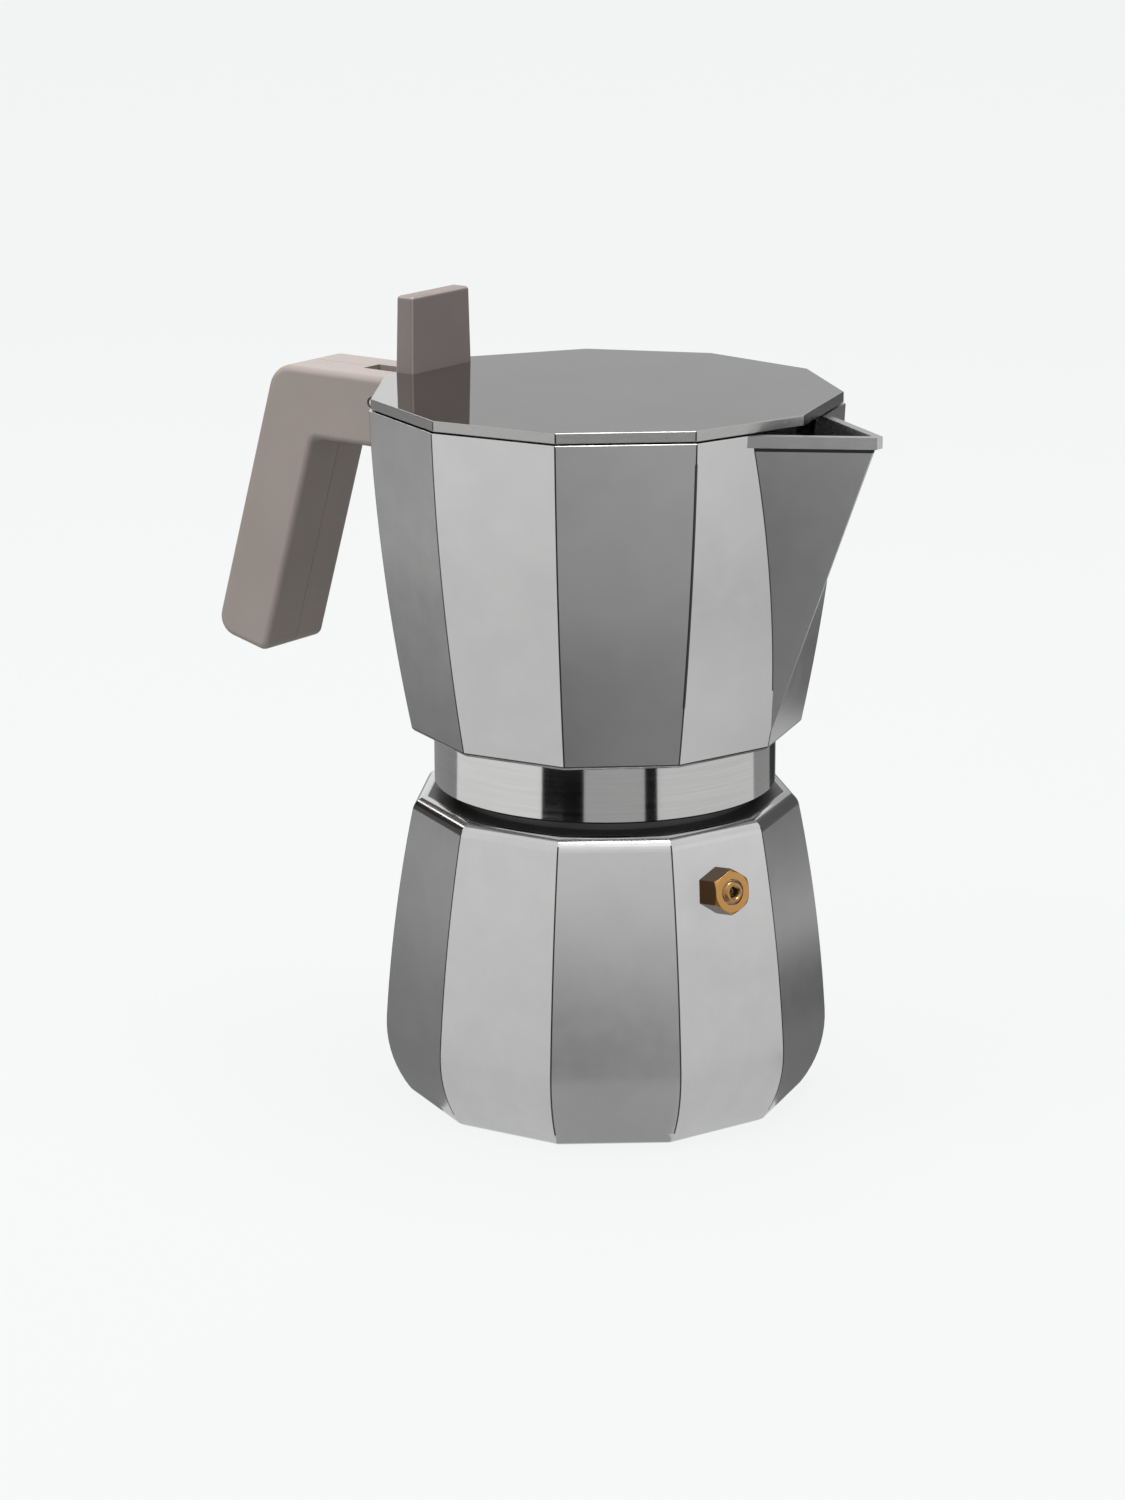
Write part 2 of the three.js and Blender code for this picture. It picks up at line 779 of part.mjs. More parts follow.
// Extrude an (x, z) outline along Y between two places.
function sideways(outline, low, high, bevel = 0, bevelSegments = 0) {
  const shape = new THREE.Shape(outline.map(([x, z]) => new THREE.Vector2(x, z)));
  const geometry = new THREE.ExtrudeGeometry(shape, {
    depth: high - low - 2 * bevel,
    bevelEnabled: bevel > 0,
    bevelThickness: bevel,
    bevelSize: bevel,
    bevelOffset: -bevel,
    bevelSegments,
  });
  geometry.rotateX(Math.PI / 2);
  geometry.translate(0, high - bevel, 0);
  return solid(geometry);
}

function makeLug() {
  const root = rearFlat + lug.root;
  const tongue = sideways(roundedOutline([
    [lugEnd, lugBottom, lug.corner],
    [root, lugBottom],
    [root, lugTop],
    [lugEnd, lugTop, lug.corner],
  ]), -lug.width / 2, lug.width / 2);
  return cut(tongue, bar(screwRoom, lugBottom - past, lugTop + past, screwX, 0));
}

// X of the handle's end face at a height, following the lean of the rear facet.
function handleEnd(height) {
  return -radiusAt(collectorWall, height) * flatFactor - handle.bodyGap;
}

// Corners of the handle seen from the side, moved inward by a wall.
function handleOutline(wall) {
  const angle = radians(handle.gripAngle);
  const down = new THREE.Vector2(-Math.sin(angle), -Math.cos(angle));
  const outward = new THREE.Vector2(-Math.cos(angle), Math.sin(angle));
  const innerCorner = new THREE.Vector2(rearFlat - handle.gripReach, armBottom);
  const innerEnd = innerCorner.clone().addScaledVector(down, handle.gripLength);
  const outerEnd = innerEnd.clone().addScaledVector(outward, handle.gripDepth)
    .addScaledVector(down, handle.gripDepth * Math.tan(radians(handle.endTilt)));
  const atHeight = (point, height) => point.clone().addScaledVector(down, (height - point.y) / down.y);
  const innerWallPoint = innerEnd.clone().addScaledVector(outward, wall);
  const outerWallPoint = outerEnd.clone().addScaledVector(outward, -wall);
  const open = wall > 0 ? past : 0;
  const corner = (radius) => Math.max(radius - wall, radius / 4);
  return roundedOutline([
    [...atHeight(innerWallPoint, armBottom + wall), corner(handle.innerCorner)],
    [...innerWallPoint.addScaledVector(down, -wall), corner(handle.endInnerCorner)],
    [...outerWallPoint.clone().addScaledVector(down, -wall), corner(handle.endOuterCorner)],
    [...atHeight(outerWallPoint, handleTop - wall), corner(handle.outerCorner)],
    [handleEnd(handleTop) + open, handleTop - wall],
    [handleEnd(armBottom) + open, armBottom + wall],
  ]);
}

// A stretch of Y measured outward from the parting plane on one side.
function outwardSpan(side, near, far) {
  return side > 0 ? [near, far] : [-far, -near];
}

// Ribs across the hollow of the grip, on one side of the parting plane.
function gripRibs(side) {
  const angle = radians(handle.gripAngle);
  const reach = handle.thickness / 2 - handle.wall / 2;
  const width = handle.gripDepth - handle.wall;
  return Array.from({ length: handle.ribCount }, (_, i) => {
    const along = handle.gripLength * (i + 0.5) / handle.ribCount;
    const geometry = new THREE.BoxGeometry(width, reach - handle.ribSeam, handle.ribThickness);
    geometry.translate(-handle.gripDepth / 2, side * (reach + handle.ribSeam) / 2, 0);
    geometry.rotateY(angle);
    geometry.translate(rearFlat - handle.gripReach - Math.sin(angle) * along, 0,
      armBottom - Math.cos(angle) * along);
    return solid(geometry);
  });
}

function makeHandleShell(side) {
  const half = handle.thickness / 2;
  const hollowHalf = half - handle.wall;
  const whole = sideways(handleOutline(0), -half, half, handle.edge, 3);
  const hollow = sideways(handleOutline(handle.wall), -hollowHalf, hollowHalf);
  const [low, high] = outwardSpan(side, 0, handle.thickness);
  const sideBlock = box([lugEnd - handle.gripLength, low, 0], [0, high, handleTop + past]);
  const slot = box([pinX - (lidTop - pinZ) - handle.slotMargin, -handle.slotWidth / 2,
    pinZ - lid.knuckleRadius - handle.knuckleMargin], [rearFlat, handle.slotWidth / 2, handleTop + past]);
  const boss = crossBar(handle.bossRadius,
    ...outwardSpan(side, tongueHalf + handle.bossGap, half - handle.wall / 2), pinX, pinZ);
  const pinHole = crossBar(pinRoom, -half - past, half + past, pinX, pinZ);
  const screwHole = bar(screwRoom, armBottom - past, lugBottom, screwX, 0);
  const headRecess = bar(handleScrew.headRadius + handleScrew.clearance, armBottom - past,
    armBottom + handleScrew.recessDepth, screwX, 0);
  const shell = cut(whole.intersect(sideBlock), hollow);
  return cut(join(shell, boss, ...gripRibs(side)), slot, pinHole, screwHole, headRecess);
}

function makeHingePin() {
  const half = handle.thickness / 2 - hinge.endRecess;
  return crossBar(hinge.pinRadius, -half, half, pinX, pinZ);
}

function makeHandleScrew() {
  const { shankRadius, headRadius, slotWidth } = handleScrew;
  const headFront = armBottom + handleScrew.headInset;
  const headBack = armBottom + handleScrew.recessDepth - seatGap;
  const head = bar(headRadius, headFront, headBack, screwX, 0);
  const shank = bar(shankRadius, headBack - seatGap, lugTop, screwX, 0);
  const slot = box([screwX - headRadius, -slotWidth / 2, headFront - past],
    [screwX + headRadius, slotWidth / 2, headFront + handleScrew.slotDepth]);
  return cut(join(head, shank), slot);
}

// ---- Lid, knob and screws ----

const lidRadius = collector.rimRadius - lid.inset;
const lidRear = -lidRadius * flatFactor;
const knobMiddle = lidRear + knob.edgeInset + knob.thickness / 2;
const knobTop = lidTop + knob.height;
const screwPlaces = [-knobScrew.spacing / 2, knobScrew.spacing / 2];

function makeLid() {
  const plate = turned([
    [0, lidBottom],
    [lidRadius - lid.edge, lidBottom],
    [lidRadius, lidBottom + lid.edge],
    [lidRadius, lidTop - lid.edge],
    [lidRadius - lid.edge, lidTop],
    [0, lidTop],
  ], facets);
  const diagonal = lid.knuckleRadius * Math.SQRT1_2;
  const tongue = sideways([
    [lidRear - lid.tongueRoot, lidBottom],
    [lidRear + lid.thickness, lidBottom],
    [lidRear + lid.thickness, lidTop],
    [lidRear - lid.tongueReach, lidTop],
    [pinX - diagonal, pinZ + diagonal],
    [pinX, pinZ - lid.knuckleRadius],
    [pinX + lid.knuckleRadius, pinZ],
  ].reverse(), -tongueHalf, tongueHalf);
  const knuckle = crossBar(lid.knuckleRadius, -tongueHalf, tongueHalf, pinX, pinZ);
  const pinHole = crossBar(pinRoom, -tongueHalf - past, tongueHalf + past, pinX, pinZ);
  return cut(join(plate, tongue, knuckle), pinHole, ...screwPlaces.map(screwCutter));
}

// Countersunk screw with its head flush in the lid's underside, grown by a clearance as a cutter.
function screwShape(y, clearance, below) {
  const { headRadius, headHeight, shankRadius, length } = knobScrew;
  return turned([
    [0, lidBottom - below],
    [headRadius + clearance, lidBottom - below],
    [headRadius + clearance, lidBottom + clearance],
    [shankRadius + clearance, lidBottom + headHeight + clearance],
    [shankRadius + clearance, lidBottom + length + clearance],
    [0, lidBottom + length + clearance],
  ], smallSegments, knobMiddle, y);
}

function screwCutter(y) {
  return screwShape(y, knobScrew.clearance, past);
}

function makeKnobScrew(y) {
  const { headRadius, slotWidth, slotDepth, clearance } = knobScrew;
  const slot = box([knobMiddle - headRadius - past, y - slotWidth / 2, lidBottom - past],
    [knobMiddle + headRadius + past, y + slotWidth / 2, lidBottom + slotDepth]);
  return cut(screwShape(y, 0, 0), slot);
}

function makeKnob() {
  const ringAt = (height, inset) => {
    const share = (height - lidTop) / knob.height;
    const halfX = knob.thickness / 2 - inset - share * knob.faceTaper;
    const halfY = knob.width / 2 - inset - share * knob.sideTaper;
    return roundedOutline([
      [knobMiddle - halfX, -halfY, knob.edge],
      [knobMiddle + halfX, -halfY, knob.edge],
      [knobMiddle + halfX, halfY, knob.edge],
      [knobMiddle - halfX, halfY, knob.edge],
    ], 3).map(([x, y]) => [x, y, height]);
  };
  const topRings = roundedTop(0, knobTop, knob.edge, 3).map(([inset, height]) => ringAt(height, -inset));
  const block = loft([ringAt(lidTop, 0), ...topRings]);
  return cut(block, ...screwPlaces.map(screwCutter));
}

// ---- Assembly ----

const finishes = {
  castAluminium: { color: 0xa4a4a5, metalness: 1, roughness: 0.42 },
  sheetAluminium: { color: 0xb9bab8, metalness: 1, roughness: 0.35 },
  brass: { color: 0xb58a3c, metalness: 1, roughness: 0.3 },
  steel: { color: 0xc4c4c2, metalness: 1, roughness: 0.25 },
  rubber: { color: 0xe6e1d6, metalness: 0, roughness: 0.7 },
  plastic: { color: 0x9c8f89, metalness: 0, roughness: 0.5 },
};

function piece(name, shape, finish) {
  const mesh = new THREE.Mesh(geometryOf(shape), new THREE.MeshStandardMaterial(finishes[finish]));
  mesh.name = name;
  return mesh;
}

const valveGroup = new THREE.Group();
valveGroup.applyMatrix4(valveAxis);
valveGroup.add(
  piece('valve_body', makeValveBody(), 'brass'),
  piece('valve_nozzle', makeValveNozzle(), 'brass'),
  piece('valve_spring', makeValveSpring(), 'steel'),
  piece('valve_ball', makeValveBall(), 'steel'),
);

const boilerGroup = new THREE.Group();
boilerGroup.rotation.z = radians(boiler.yaw);
boilerGroup.add(piece('boiler', makeBoiler(), 'castAluminium'), valveGroup);

const funnelGroup = new THREE.Group();
funnelGroup.add(
  piece('funnel_cup', makeFunnelCup(), 'sheetAluminium'),
  piece('funnel_tube', makeFunnelTube(), 'sheetAluminium'),
  piece('funnel_plate', makeFunnelPlate(), 'sheetAluminium'),
);

const lidGroup = new THREE.Group();
lidGroup.add(
  piece('lid', makeLid(), 'castAluminium'),
  piece('knob', makeKnob(), 'plastic'),
  ...screwPlaces.map((y, i) => piece(`knob_screw_${i + 1}`, makeKnobScrew(y), 'steel')),
);

const upperGroup = new THREE.Group();
upperGroup.add(
  piece('collector', makeCollector(), 'castAluminium'),
  piece('column', makeColumn(), 'sheetAluminium'),
  piece('handle_shell_left', makeHandleShell(1), 'plastic'),
  piece('handle_shell_right', makeHandleShell(-1), 'plastic'),
  piece('handle_screw', makeHandleScrew(), 'steel'),
  piece('hinge_pin', makeHingePin(), 'steel'),
  lidGroup,
);

const mokaPot = new THREE.Group();
mokaPot.add(
  boilerGroup,
  funnelGroup,
  piece('gasket', makeGasket(), 'rubber'),
  piece('filter_plate', makeFilterPlate(), 'sheetAluminium'),
  upperGroup,
);

export default mokaPot;
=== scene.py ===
# Eleven-sided stovetop moka pot on a pale studio floor. Metres, +Z up, spout towards +X.
import bpy
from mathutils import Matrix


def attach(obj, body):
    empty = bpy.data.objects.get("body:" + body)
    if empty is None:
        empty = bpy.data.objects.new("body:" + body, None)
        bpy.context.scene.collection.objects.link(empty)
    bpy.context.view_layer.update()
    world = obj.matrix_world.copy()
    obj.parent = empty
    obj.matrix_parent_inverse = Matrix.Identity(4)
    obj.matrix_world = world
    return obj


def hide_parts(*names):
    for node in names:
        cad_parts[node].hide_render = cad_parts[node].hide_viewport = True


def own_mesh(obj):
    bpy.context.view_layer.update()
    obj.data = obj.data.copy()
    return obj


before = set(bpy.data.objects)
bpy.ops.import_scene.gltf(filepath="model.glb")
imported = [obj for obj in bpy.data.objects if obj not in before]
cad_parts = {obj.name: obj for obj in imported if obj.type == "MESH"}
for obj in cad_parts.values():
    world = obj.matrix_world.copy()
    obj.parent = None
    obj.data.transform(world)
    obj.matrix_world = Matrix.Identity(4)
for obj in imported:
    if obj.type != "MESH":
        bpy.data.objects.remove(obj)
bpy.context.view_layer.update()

import bpy
from math import radians, pi, sin, cos, tan, atan2, asin, hypot, sqrt
from mathutils import Vector, Matrix

facets = 11
flat = cos(pi / facets)  # flat distance over corner radius
mm = 0.001
fitRoom = 0.3  # millimetres of room between parts that are pressed or slid together


class Sizes(dict):  # s.wall reads s["wall"]
    __getattr__ = dict.__getitem__


# Selection and edit mode

def enterEdit():
    bpy.ops.object.mode_set(mode="EDIT")


def leaveEdit():
    bpy.ops.object.mode_set(mode="OBJECT")


def clearSelection():
    if bpy.context.object and bpy.context.object.mode != "OBJECT":
        leaveEdit()
    bpy.ops.object.select_all(action="DESELECT")


def takeOnly(piece):
    clearSelection()
    piece.select_set(True)
    bpy.context.view_layer.objects.active = piece
    return piece


def newest(name):
    piece = bpy.context.object
    piece.name = name
    piece.data.name = name
    bpy.ops.object.transform_apply(location=True, rotation=True, scale=True)
    return piece


def startPick(piece, kind):
    takeOnly(piece)
    enterEdit()
    bpy.ops.mesh.select_mode(type=kind)
    bpy.ops.mesh.select_all(action="DESELECT")
    leaveEdit()


def pickFaces(piece, test):
    startPick(piece, "FACE")
    for face in piece.data.polygons:
        face.select = test(face.center, face.normal)
    enterEdit()


def pickEdges(piece, test):
    startPick(piece, "EDGE")
    points = piece.data.vertices
    for edge in piece.data.edges:
        edge.select = test(*(points[i].co for i in edge.vertices))
    enterEdit()


def pickPoints(piece, test):
    startPick(piece, "VERT")
    for point in piece.data.vertices:
        point.select = test(point.co)
    enterEdit()


def everything(*where):
    return True


def editAll(piece):
    takeOnly(piece)
    enterEdit()
    bpy.ops.mesh.select_all(action="SELECT")


def extrude(height):
    bpy.ops.mesh.extrude_region_move(TRANSFORM_OT_translate={"value": (0, 0, height)})


def stretch(x, y, z, about=(0, 0, 0)):
    bpy.ops.transform.resize(value=(x, y, z), center_override=about)


def bevelEdges(width, segments, **more):
    bpy.ops.mesh.bevel(offset=width * mm, offset_type="OFFSET", segments=segments, affect="EDGES", **more)
    leaveEdit()


def tidyNormals(piece):
    editAll(piece)
    bpy.ops.mesh.remove_doubles(threshold=0.001 * mm)
    bpy.ops.mesh.normals_make_consistent(inside=False)
    leaveEdit()


def turnedFaces(piece, test, index):  # the chosen faces take another finish
    pickFaces(piece, test)
    piece.active_material_index = index
    bpy.ops.object.material_slot_assign()
    leaveEdit()


def closeEnds(piece):
    startPick(piece, "EDGE")
    enterEdit()
    bpy.ops.mesh.select_non_manifold(extend=False)
    bpy.ops.mesh.edge_face_add()
    leaveEdit()
    tidyNormals(piece)
    return piece


# Modifiers, each applied at once

def apply(piece, kind, **values):
    takeOnly(piece)
    modifier = piece.modifiers.new(kind.title(), kind)
    for key, value in values.items():
        setattr(modifier, key, value)
    bpy.ops.object.modifier_apply(modifier=modifier.name)
    return piece


def soften(piece, width, angle=28, segments=3, material=-1):
    return apply(piece, "BEVEL", width=width, segments=segments, limit_method="ANGLE",
            angle_limit=radians(angle), material=material, use_clamp_overlap=True)


def combine(piece, tool, how):
    apply(piece, "BOOLEAN", operation=how, object=tool, solver="EXACT")
    bpy.data.objects.remove(tool, do_unlink=True)
    return piece


def cut(piece, tool):
    return combine(piece, tool, "DIFFERENCE")


def fuse(piece, tool):
    return combine(piece, tool, "UNION")


def smooth(piece, angle=30):
    takeOnly(piece)
    bpy.ops.object.shade_smooth_by_angle(angle=radians(angle))
    # the broad faces stay flat beside their soft edges
    return apply(piece, "WEIGHTED_NORMAL", keep_sharp=True)


# Outlines are (radius, height) in millimetres.

def bowed(start, end, bulge, steps):
    (r0, z0), (r1, z1) = start, end
    length = hypot(r1 - r0, z1 - z0)
    alongR, alongZ = (r1 - r0) / length, (z1 - z0) / length
    radius = (length ** 2 / 4 + bulge ** 2) / (2 * bulge)
    half = asin(length / 2 / radius)
    points = []
    for i in range(steps + 1):
        angle = half * (2 * i / steps - 1)
        along = length / 2 + radius * sin(angle)
        out = bulge - radius * (1 - cos(angle))
        points.append((r0 + alongR * along + alongZ * out, z0 + alongZ * along - alongR * out))
    return points


def rolled(radius, height, edge, steps=4):
    return bowed((radius, height - edge), (radius - edge, height), edge * (1 - sqrt(0.5)), steps)


def rolledUnder(radius, height, edge, steps=4):
    return bowed((radius - edge, height), (radius, height + edge), edge * (1 - sqrt(0.5)), steps)


def lowEdge(radius, height, edge):  # a chamfer, negative inside a bore
    return [(radius - edge, height), (radius, height + abs(edge))]


def highEdge(radius, height, edge):
    return [(radius, height - abs(edge)), (radius - edge, height)]


def radiusAt(outline, height):
    for (r0, z0), (r1, z1) in zip(outline, outline[1:]):
        if z0 <= height <= z1:
            return r0 + (r1 - r0) * (height - z0) / (z1 - z0)
    return outline[0][0] if height < outline[0][1] else outline[-1][0]


def thinner(outline, wall, low, high):  # the wall's inner side, measured square to the flats
    step = wall / flat
    middle = [(r - step, z) for r, z in outline if low < z < high]
    return [(radiusAt(outline, low) - step, low)] + middle + [(radiusAt(outline, high) - step, high)]


def circle(name, sides, radius, place, turn=(0, 0, 0), fill="NGON"):
    clearSelection()
    bpy.ops.mesh.primitive_circle_add(vertices=sides, radius=radius, fill_type=fill, location=place,
            rotation=turn)
    return newest(name)


def growRings(name, outline, sides=facets, place=(0, 0), turn=0):
    # a disc drawn up level by level, each level resized about the axis
    radius, height = outline[0]
    x, y = place[0] * mm, place[1] * mm
    piece = circle(name, sides, radius * mm, (x, y, height * mm), (0, 0, turn - pi / 2))
    editAll(piece)
    for (r0, z0), (r1, z1) in zip(outline, outline[1:]):
        extrude((z1 - z0) * mm)
        stretch(r1 / r0, r1 / r0, 1, (x, y, 0))
    leaveEdit()
    tidyNormals(piece)
    return piece


def rod(name, radius, low, high, sides=48, place=(0, 0), turn=0):
    return growRings(name, [(radius, low), (radius, high)], sides, place, turn)


def drawn(name, outline, height):
    # a disc with as many corners as the outline, each corner then moved to its place
    piece = circle(name, len(outline), 10 * mm, (0, 0, height * mm))
    for i, (x, y) in enumerate(outline):
        startPick(piece, "VERT")
        corner = piece.data.vertices[i]
        corner.select = True
        move = Vector((x * mm, y * mm, height * mm)) - corner.co
        enterEdit()
        bpy.ops.transform.translate(value=move)
        leaveEdit()
    return piece


def raised(name, outline, low, high):
    piece = drawn(name, outline, low)
    pickFaces(piece, everything)
    extrude((high - low) * mm)
    leaveEdit()
    tidyNormals(piece)
    return piece


def laid(piece, matrix):  # moved onto another axis, then fixed there
    takeOnly(piece)
    piece.matrix_world = matrix
    bpy.context.view_layer.update()
    bpy.ops.object.transform_apply(location=True, rotation=True, scale=True)
    return piece


def sideways(name, outline, low, high):  # outline of (x, z), drawn flat and stood up along Y
    return laid(raised(name, outline, -high, -low), Matrix.Rotation(pi / 2, 4, "X"))


def roundCorner(piece, test, radius, inside, segments=8):
    # inside is the angle between the two sides that meet at the edge
    pickEdges(piece, test)
    bevelEdges(radius / tan(inside / 2), segments)


def block(name, low, high):
    clearSelection()
    middle = [(a + b) / 2 * mm for a, b in zip(low, high)]
    bpy.ops.mesh.primitive_cube_add(size=1, location=middle)
    bpy.ops.transform.resize(value=[(b - a) * mm for a, b in zip(low, high)])
    return newest(name)


def crossBar(name, radius, low, high, x, z, sides=48, edge=0):  # round bar along Y
    outline = [(radius, low), (radius, high)]
    if edge:
        outline = lowEdge(radius, low, edge) + highEdge(radius, high, edge)
    bar = growRings(name, outline, sides)
    return laid(bar, Matrix.Translation((x * mm, 0, z * mm)) @ Matrix.Rotation(-pi / 2, 4, "X"))


def paintShadowStrip(piece, high, height):  # cut between two levels, and given the second finish, a painted shadow under the beak's band
    low = (high - height) * mm
    for level in (low, high * mm):
        pickFaces(piece, everything)
        bpy.ops.mesh.bisect(plane_co=(0, 0, level), plane_no=(0, 0, 1))
        leaveEdit()
    turnedFaces(piece, lambda c, n: low < c.z < high * mm and abs(n.z) < 0.9, 1)


def paint(piece, *materials):
    piece.data.materials.clear()
    for material in materials:
        piece.data.materials.append(material)
    return piece


# Shared outlines, from the base up

boilerSizes = Sizes(
    baseRadius=47.2, bellyRadius=53.8, bellyHeight=20, lowerBow=2, upperBow=0.95,
    shoulderRadius=46.6, height=74.8, wallTop=73, shoulderRoll=3.8, baseEdge=0.9,
    wall=3, floor=4.5, neckRadius=36.8, neckTop=88.5, bore=33.6, yaw=-2,
    ridgeWidth=0.2, neckEdge=0.5, machinedRadius=39.8,
    thread=(0.75, 79.2, 4, 1.75),  # depth, foot, pitch, turns
)
collectorSizes = Sizes(
    lowerRadius=47.1, rimRadius=56.45, facetBottom=92.3, rim=169.1, bow=1.5,
    ringRadius=41, ringBore=38, ringBottom=77.3, ringTop=91.5, lowerEdge=0.8,
    wall=2.6, chamberFloor=98.1, floorCorner=4, gasketSeat=93.6, recessTop=95.4,
    recessRadius=28.1, columnHole=5.8, columnFoot=9.5, ridgeWidth=0.2, ringEdge=0.5,
    thread=(-0.75, 81.2, 4, 1.5),  # half a pitch above the neck's
)
beakSizes = Sizes(
    footZ=95.9, sideReach=15.3, noseReach=76.65, noseRadius=0.6, wall=1.3,
    channelRise=7, rootDepth=6, bandHeight=2.7, bandGap=1.1, bandOverhang=0.8, tipReach=76.3,
    leastRadius=0.3, point=0.3,  # the wedge's nose and its lower end
    footLine=0.15, footLineFrom=105, footLineNear=2.4, footLineFront=40,
)

lugSizes = Sizes(
    low=155.6, height=3.6, width=12, length=20, root=2, corner=1,
    screwX=-68.96, screwRoom=2.05,
)
rearFlat = -collectorSizes.rimRadius * flat
screwPlace = (lugSizes.screwX, 0)


def boilerOutline(s):
    belly = (s.bellyRadius, s.bellyHeight)
    return (bowed((s.baseRadius, 0), belly, s.lowerBow, 10)
            + bowed(belly, (s.shoulderRadius, s.wallTop), s.upperBow, 12)[1:])


def collectorOutline(s):
    return bowed((s.lowerRadius, s.facetBottom), (s.rimRadius, s.rim), s.bow, 16)


boilerWall = boilerOutline(boilerSizes)
collectorWall = collectorOutline(collectorSizes)
beakRoot = collectorSizes.rimRadius - beakSizes.sideReach * tan(pi / facets)
beakAngle = atan2(beakSizes.sideReach, beakSizes.noseReach - beakRoot)

threadSizes = Sizes(share=0.39, foot=0.3, endSink=0.2, stepsPerTurn=48)  # share of the pitch


def threadRidge(name, radius, depth, low, pitch, turns):
    # a triangle wound up the helix, its crest sunk into the wall at both ends; depth is negative inside a bore
    side = 1 if depth > 0 else -1
    tall = (abs(depth) + threadSizes.foot) / 1.5  # a triangle is 1.5 times its radius high
    ridge = circle(name, 3, mm, (0, 0, 0), (pi / 2, side * pi / 2, 0), "NOTHING")
    pickPoints(ridge, everything)
    stretch(tall, 1, pitch * threadSizes.share)
    bpy.ops.transform.translate(value=((radius + depth - side * tall) * mm, 0, low * mm))
    leaveEdit()
    steps = int(threadSizes.stepsPerTurn * turns)
    apply(ridge, "SCREW", angle=2 * pi * turns, screw_offset=pitch * turns * mm, iterations=1, steps=steps,
          render_steps=steps, axis="Z")
    crest = radius + depth
    sunk = (radius - side * threadSizes.endSink) / crest
    for turned, height in ((0, low), (2 * pi * turns, low + pitch * turns)):
        place = Vector((crest * cos(turned), crest * sin(turned), height)) * mm
        pickPoints(ridge, lambda p: (p - place).length < 0.3 * mm)
        stretch(sunk, sunk, 1)
        leaveEdit()
    return closeEnds(ridge)


def shoulderRoll(s):  # leaves the wall at the wall's own slope and ends flat
    (r0, z0), (r1, z1) = boilerWall[-2:]
    lean, radius = atan2(r0 - r1, z1 - z0), s.shoulderRoll
    start = s.height - radius * (1 - sin(lean))
    edge = radiusAt(boilerWall, start)
    return bowed((edge, start), (edge - radius * cos(lean), s.height),
            radius * (1 - cos((pi / 2 - lean) / 2)), 12)


def makeBoiler(s):
    roll = shoulderRoll(s)
    outside = [(s.baseRadius - s.baseEdge, 0), (radiusAt(boilerWall, s.baseEdge), s.baseEdge)]
    outside += [(r, z) for r, z in boilerWall if s.baseEdge < z < roll[0][1] - 0.5] + roll
    outside.append((s.machinedRadius, s.height))
    boiler = growRings("boiler_casting", outside, turn=radians(s.yaw))
    paint(boiler, finishes["cast"], finishes["edge"], finishes["neck"], finishes["shoulder"])
    rollFoot, rollTop = roll[0][1] * mm, (s.height - 0.02) * mm
    turnedFaces(boiler, lambda c, n: rollFoot < c.z < rollTop, 3)
    # the ridges' bevels take the second finish, dark lines of painted shade
    soften(boiler, s.ridgeWidth * mm, segments=3, material=1)
    under = s.height - s.wall
    edge = s.neckEdge
    fuse(boiler, growRings("neck", [(s.neckRadius, under)] + highEdge(s.neckRadius, s.neckTop, edge), 128))
    fuse(boiler, threadRidge("neck_thread", s.neckRadius, *s.thread))
    inner = thinner(boilerWall, s.wall, s.floor + s.wall, under - s.wall)
    cut(boiler, growRings("cavity", rolledUnder(inner[0][0], s.floor, s.wall) + inner[1:]
            + [(s.bore, under)], turn=radians(s.yaw)))
    return cut(boiler, growRings("mouth", [(s.bore, under - s.wall)] + highEdge(s.bore, s.neckTop, -edge)
            + [(s.bore + edge, s.neckTop + 1)], 128))


def wedge(name, s, offset, footX, footZ, top, sizes):
    # a triangle at the top, extruded down and drawn in to a point, its nose edge rounded in proportion
    apex = s.noseReach + offset / sin(beakAngle)
    back = beakRoot - s.rootDepth
    spread = (apex - back) * tan(beakAngle)
    share = (top - footZ) / (sizes.rim - footZ)
    corners = ((back, -spread), (apex, 0), (back, spread))
    piece = drawn(name, [(footX + (x - footX) * share, y * share) for x, y in corners], top)
    pickFaces(piece, everything)
    extrude((footZ + s.point - top) * mm)
    small = s.point / (top - footZ)
    stretch(small, small, 1, (footX * mm, 0, 0))
    leaveEdit()
    tidyNormals(piece)
    radius = max(s.noseRadius + offset, s.leastRadius)
    side = hypot(apex - back, spread)
    pickEdges(piece, lambda a, b: abs(a.y) < 1e-7 and abs(b.y) < 1e-7 and abs(a.z - b.z) > 0.01)
    bpy.ops.mesh.bevel(offset_type="PERCENT", offset_pct=100 * radius / tan(beakAngle) / side, segments=5,
            affect="EDGES")
    leaveEdit()
    return piece


def makeBand(s, rim):
    slope = tan(beakAngle)
    apex = s.noseReach + s.bandOverhang / sin(beakAngle)
    rear = beakRoot - s.bandOverhang
    half = (apex - rear) * slope
    band = block("band", (rear, -half, rim - s.bandHeight), (s.tipReach, half, rim))
    pickFaces(band, lambda c, n: n.x > 0.9)
    tip = (apex - s.tipReach) / (apex - rear)
    stretch(1, tip, 1)
    leaveEdit()
    return band


def joinFlats(piece):  # cut faces that lie in one plane become one face again
    editAll(piece)
    bpy.ops.mesh.remove_doubles(threshold=0.02 * mm)
    bpy.ops.mesh.dissolve_limited(angle_limit=radians(0.4), delimit={"NORMAL", "MATERIAL"})
    leaveEdit()


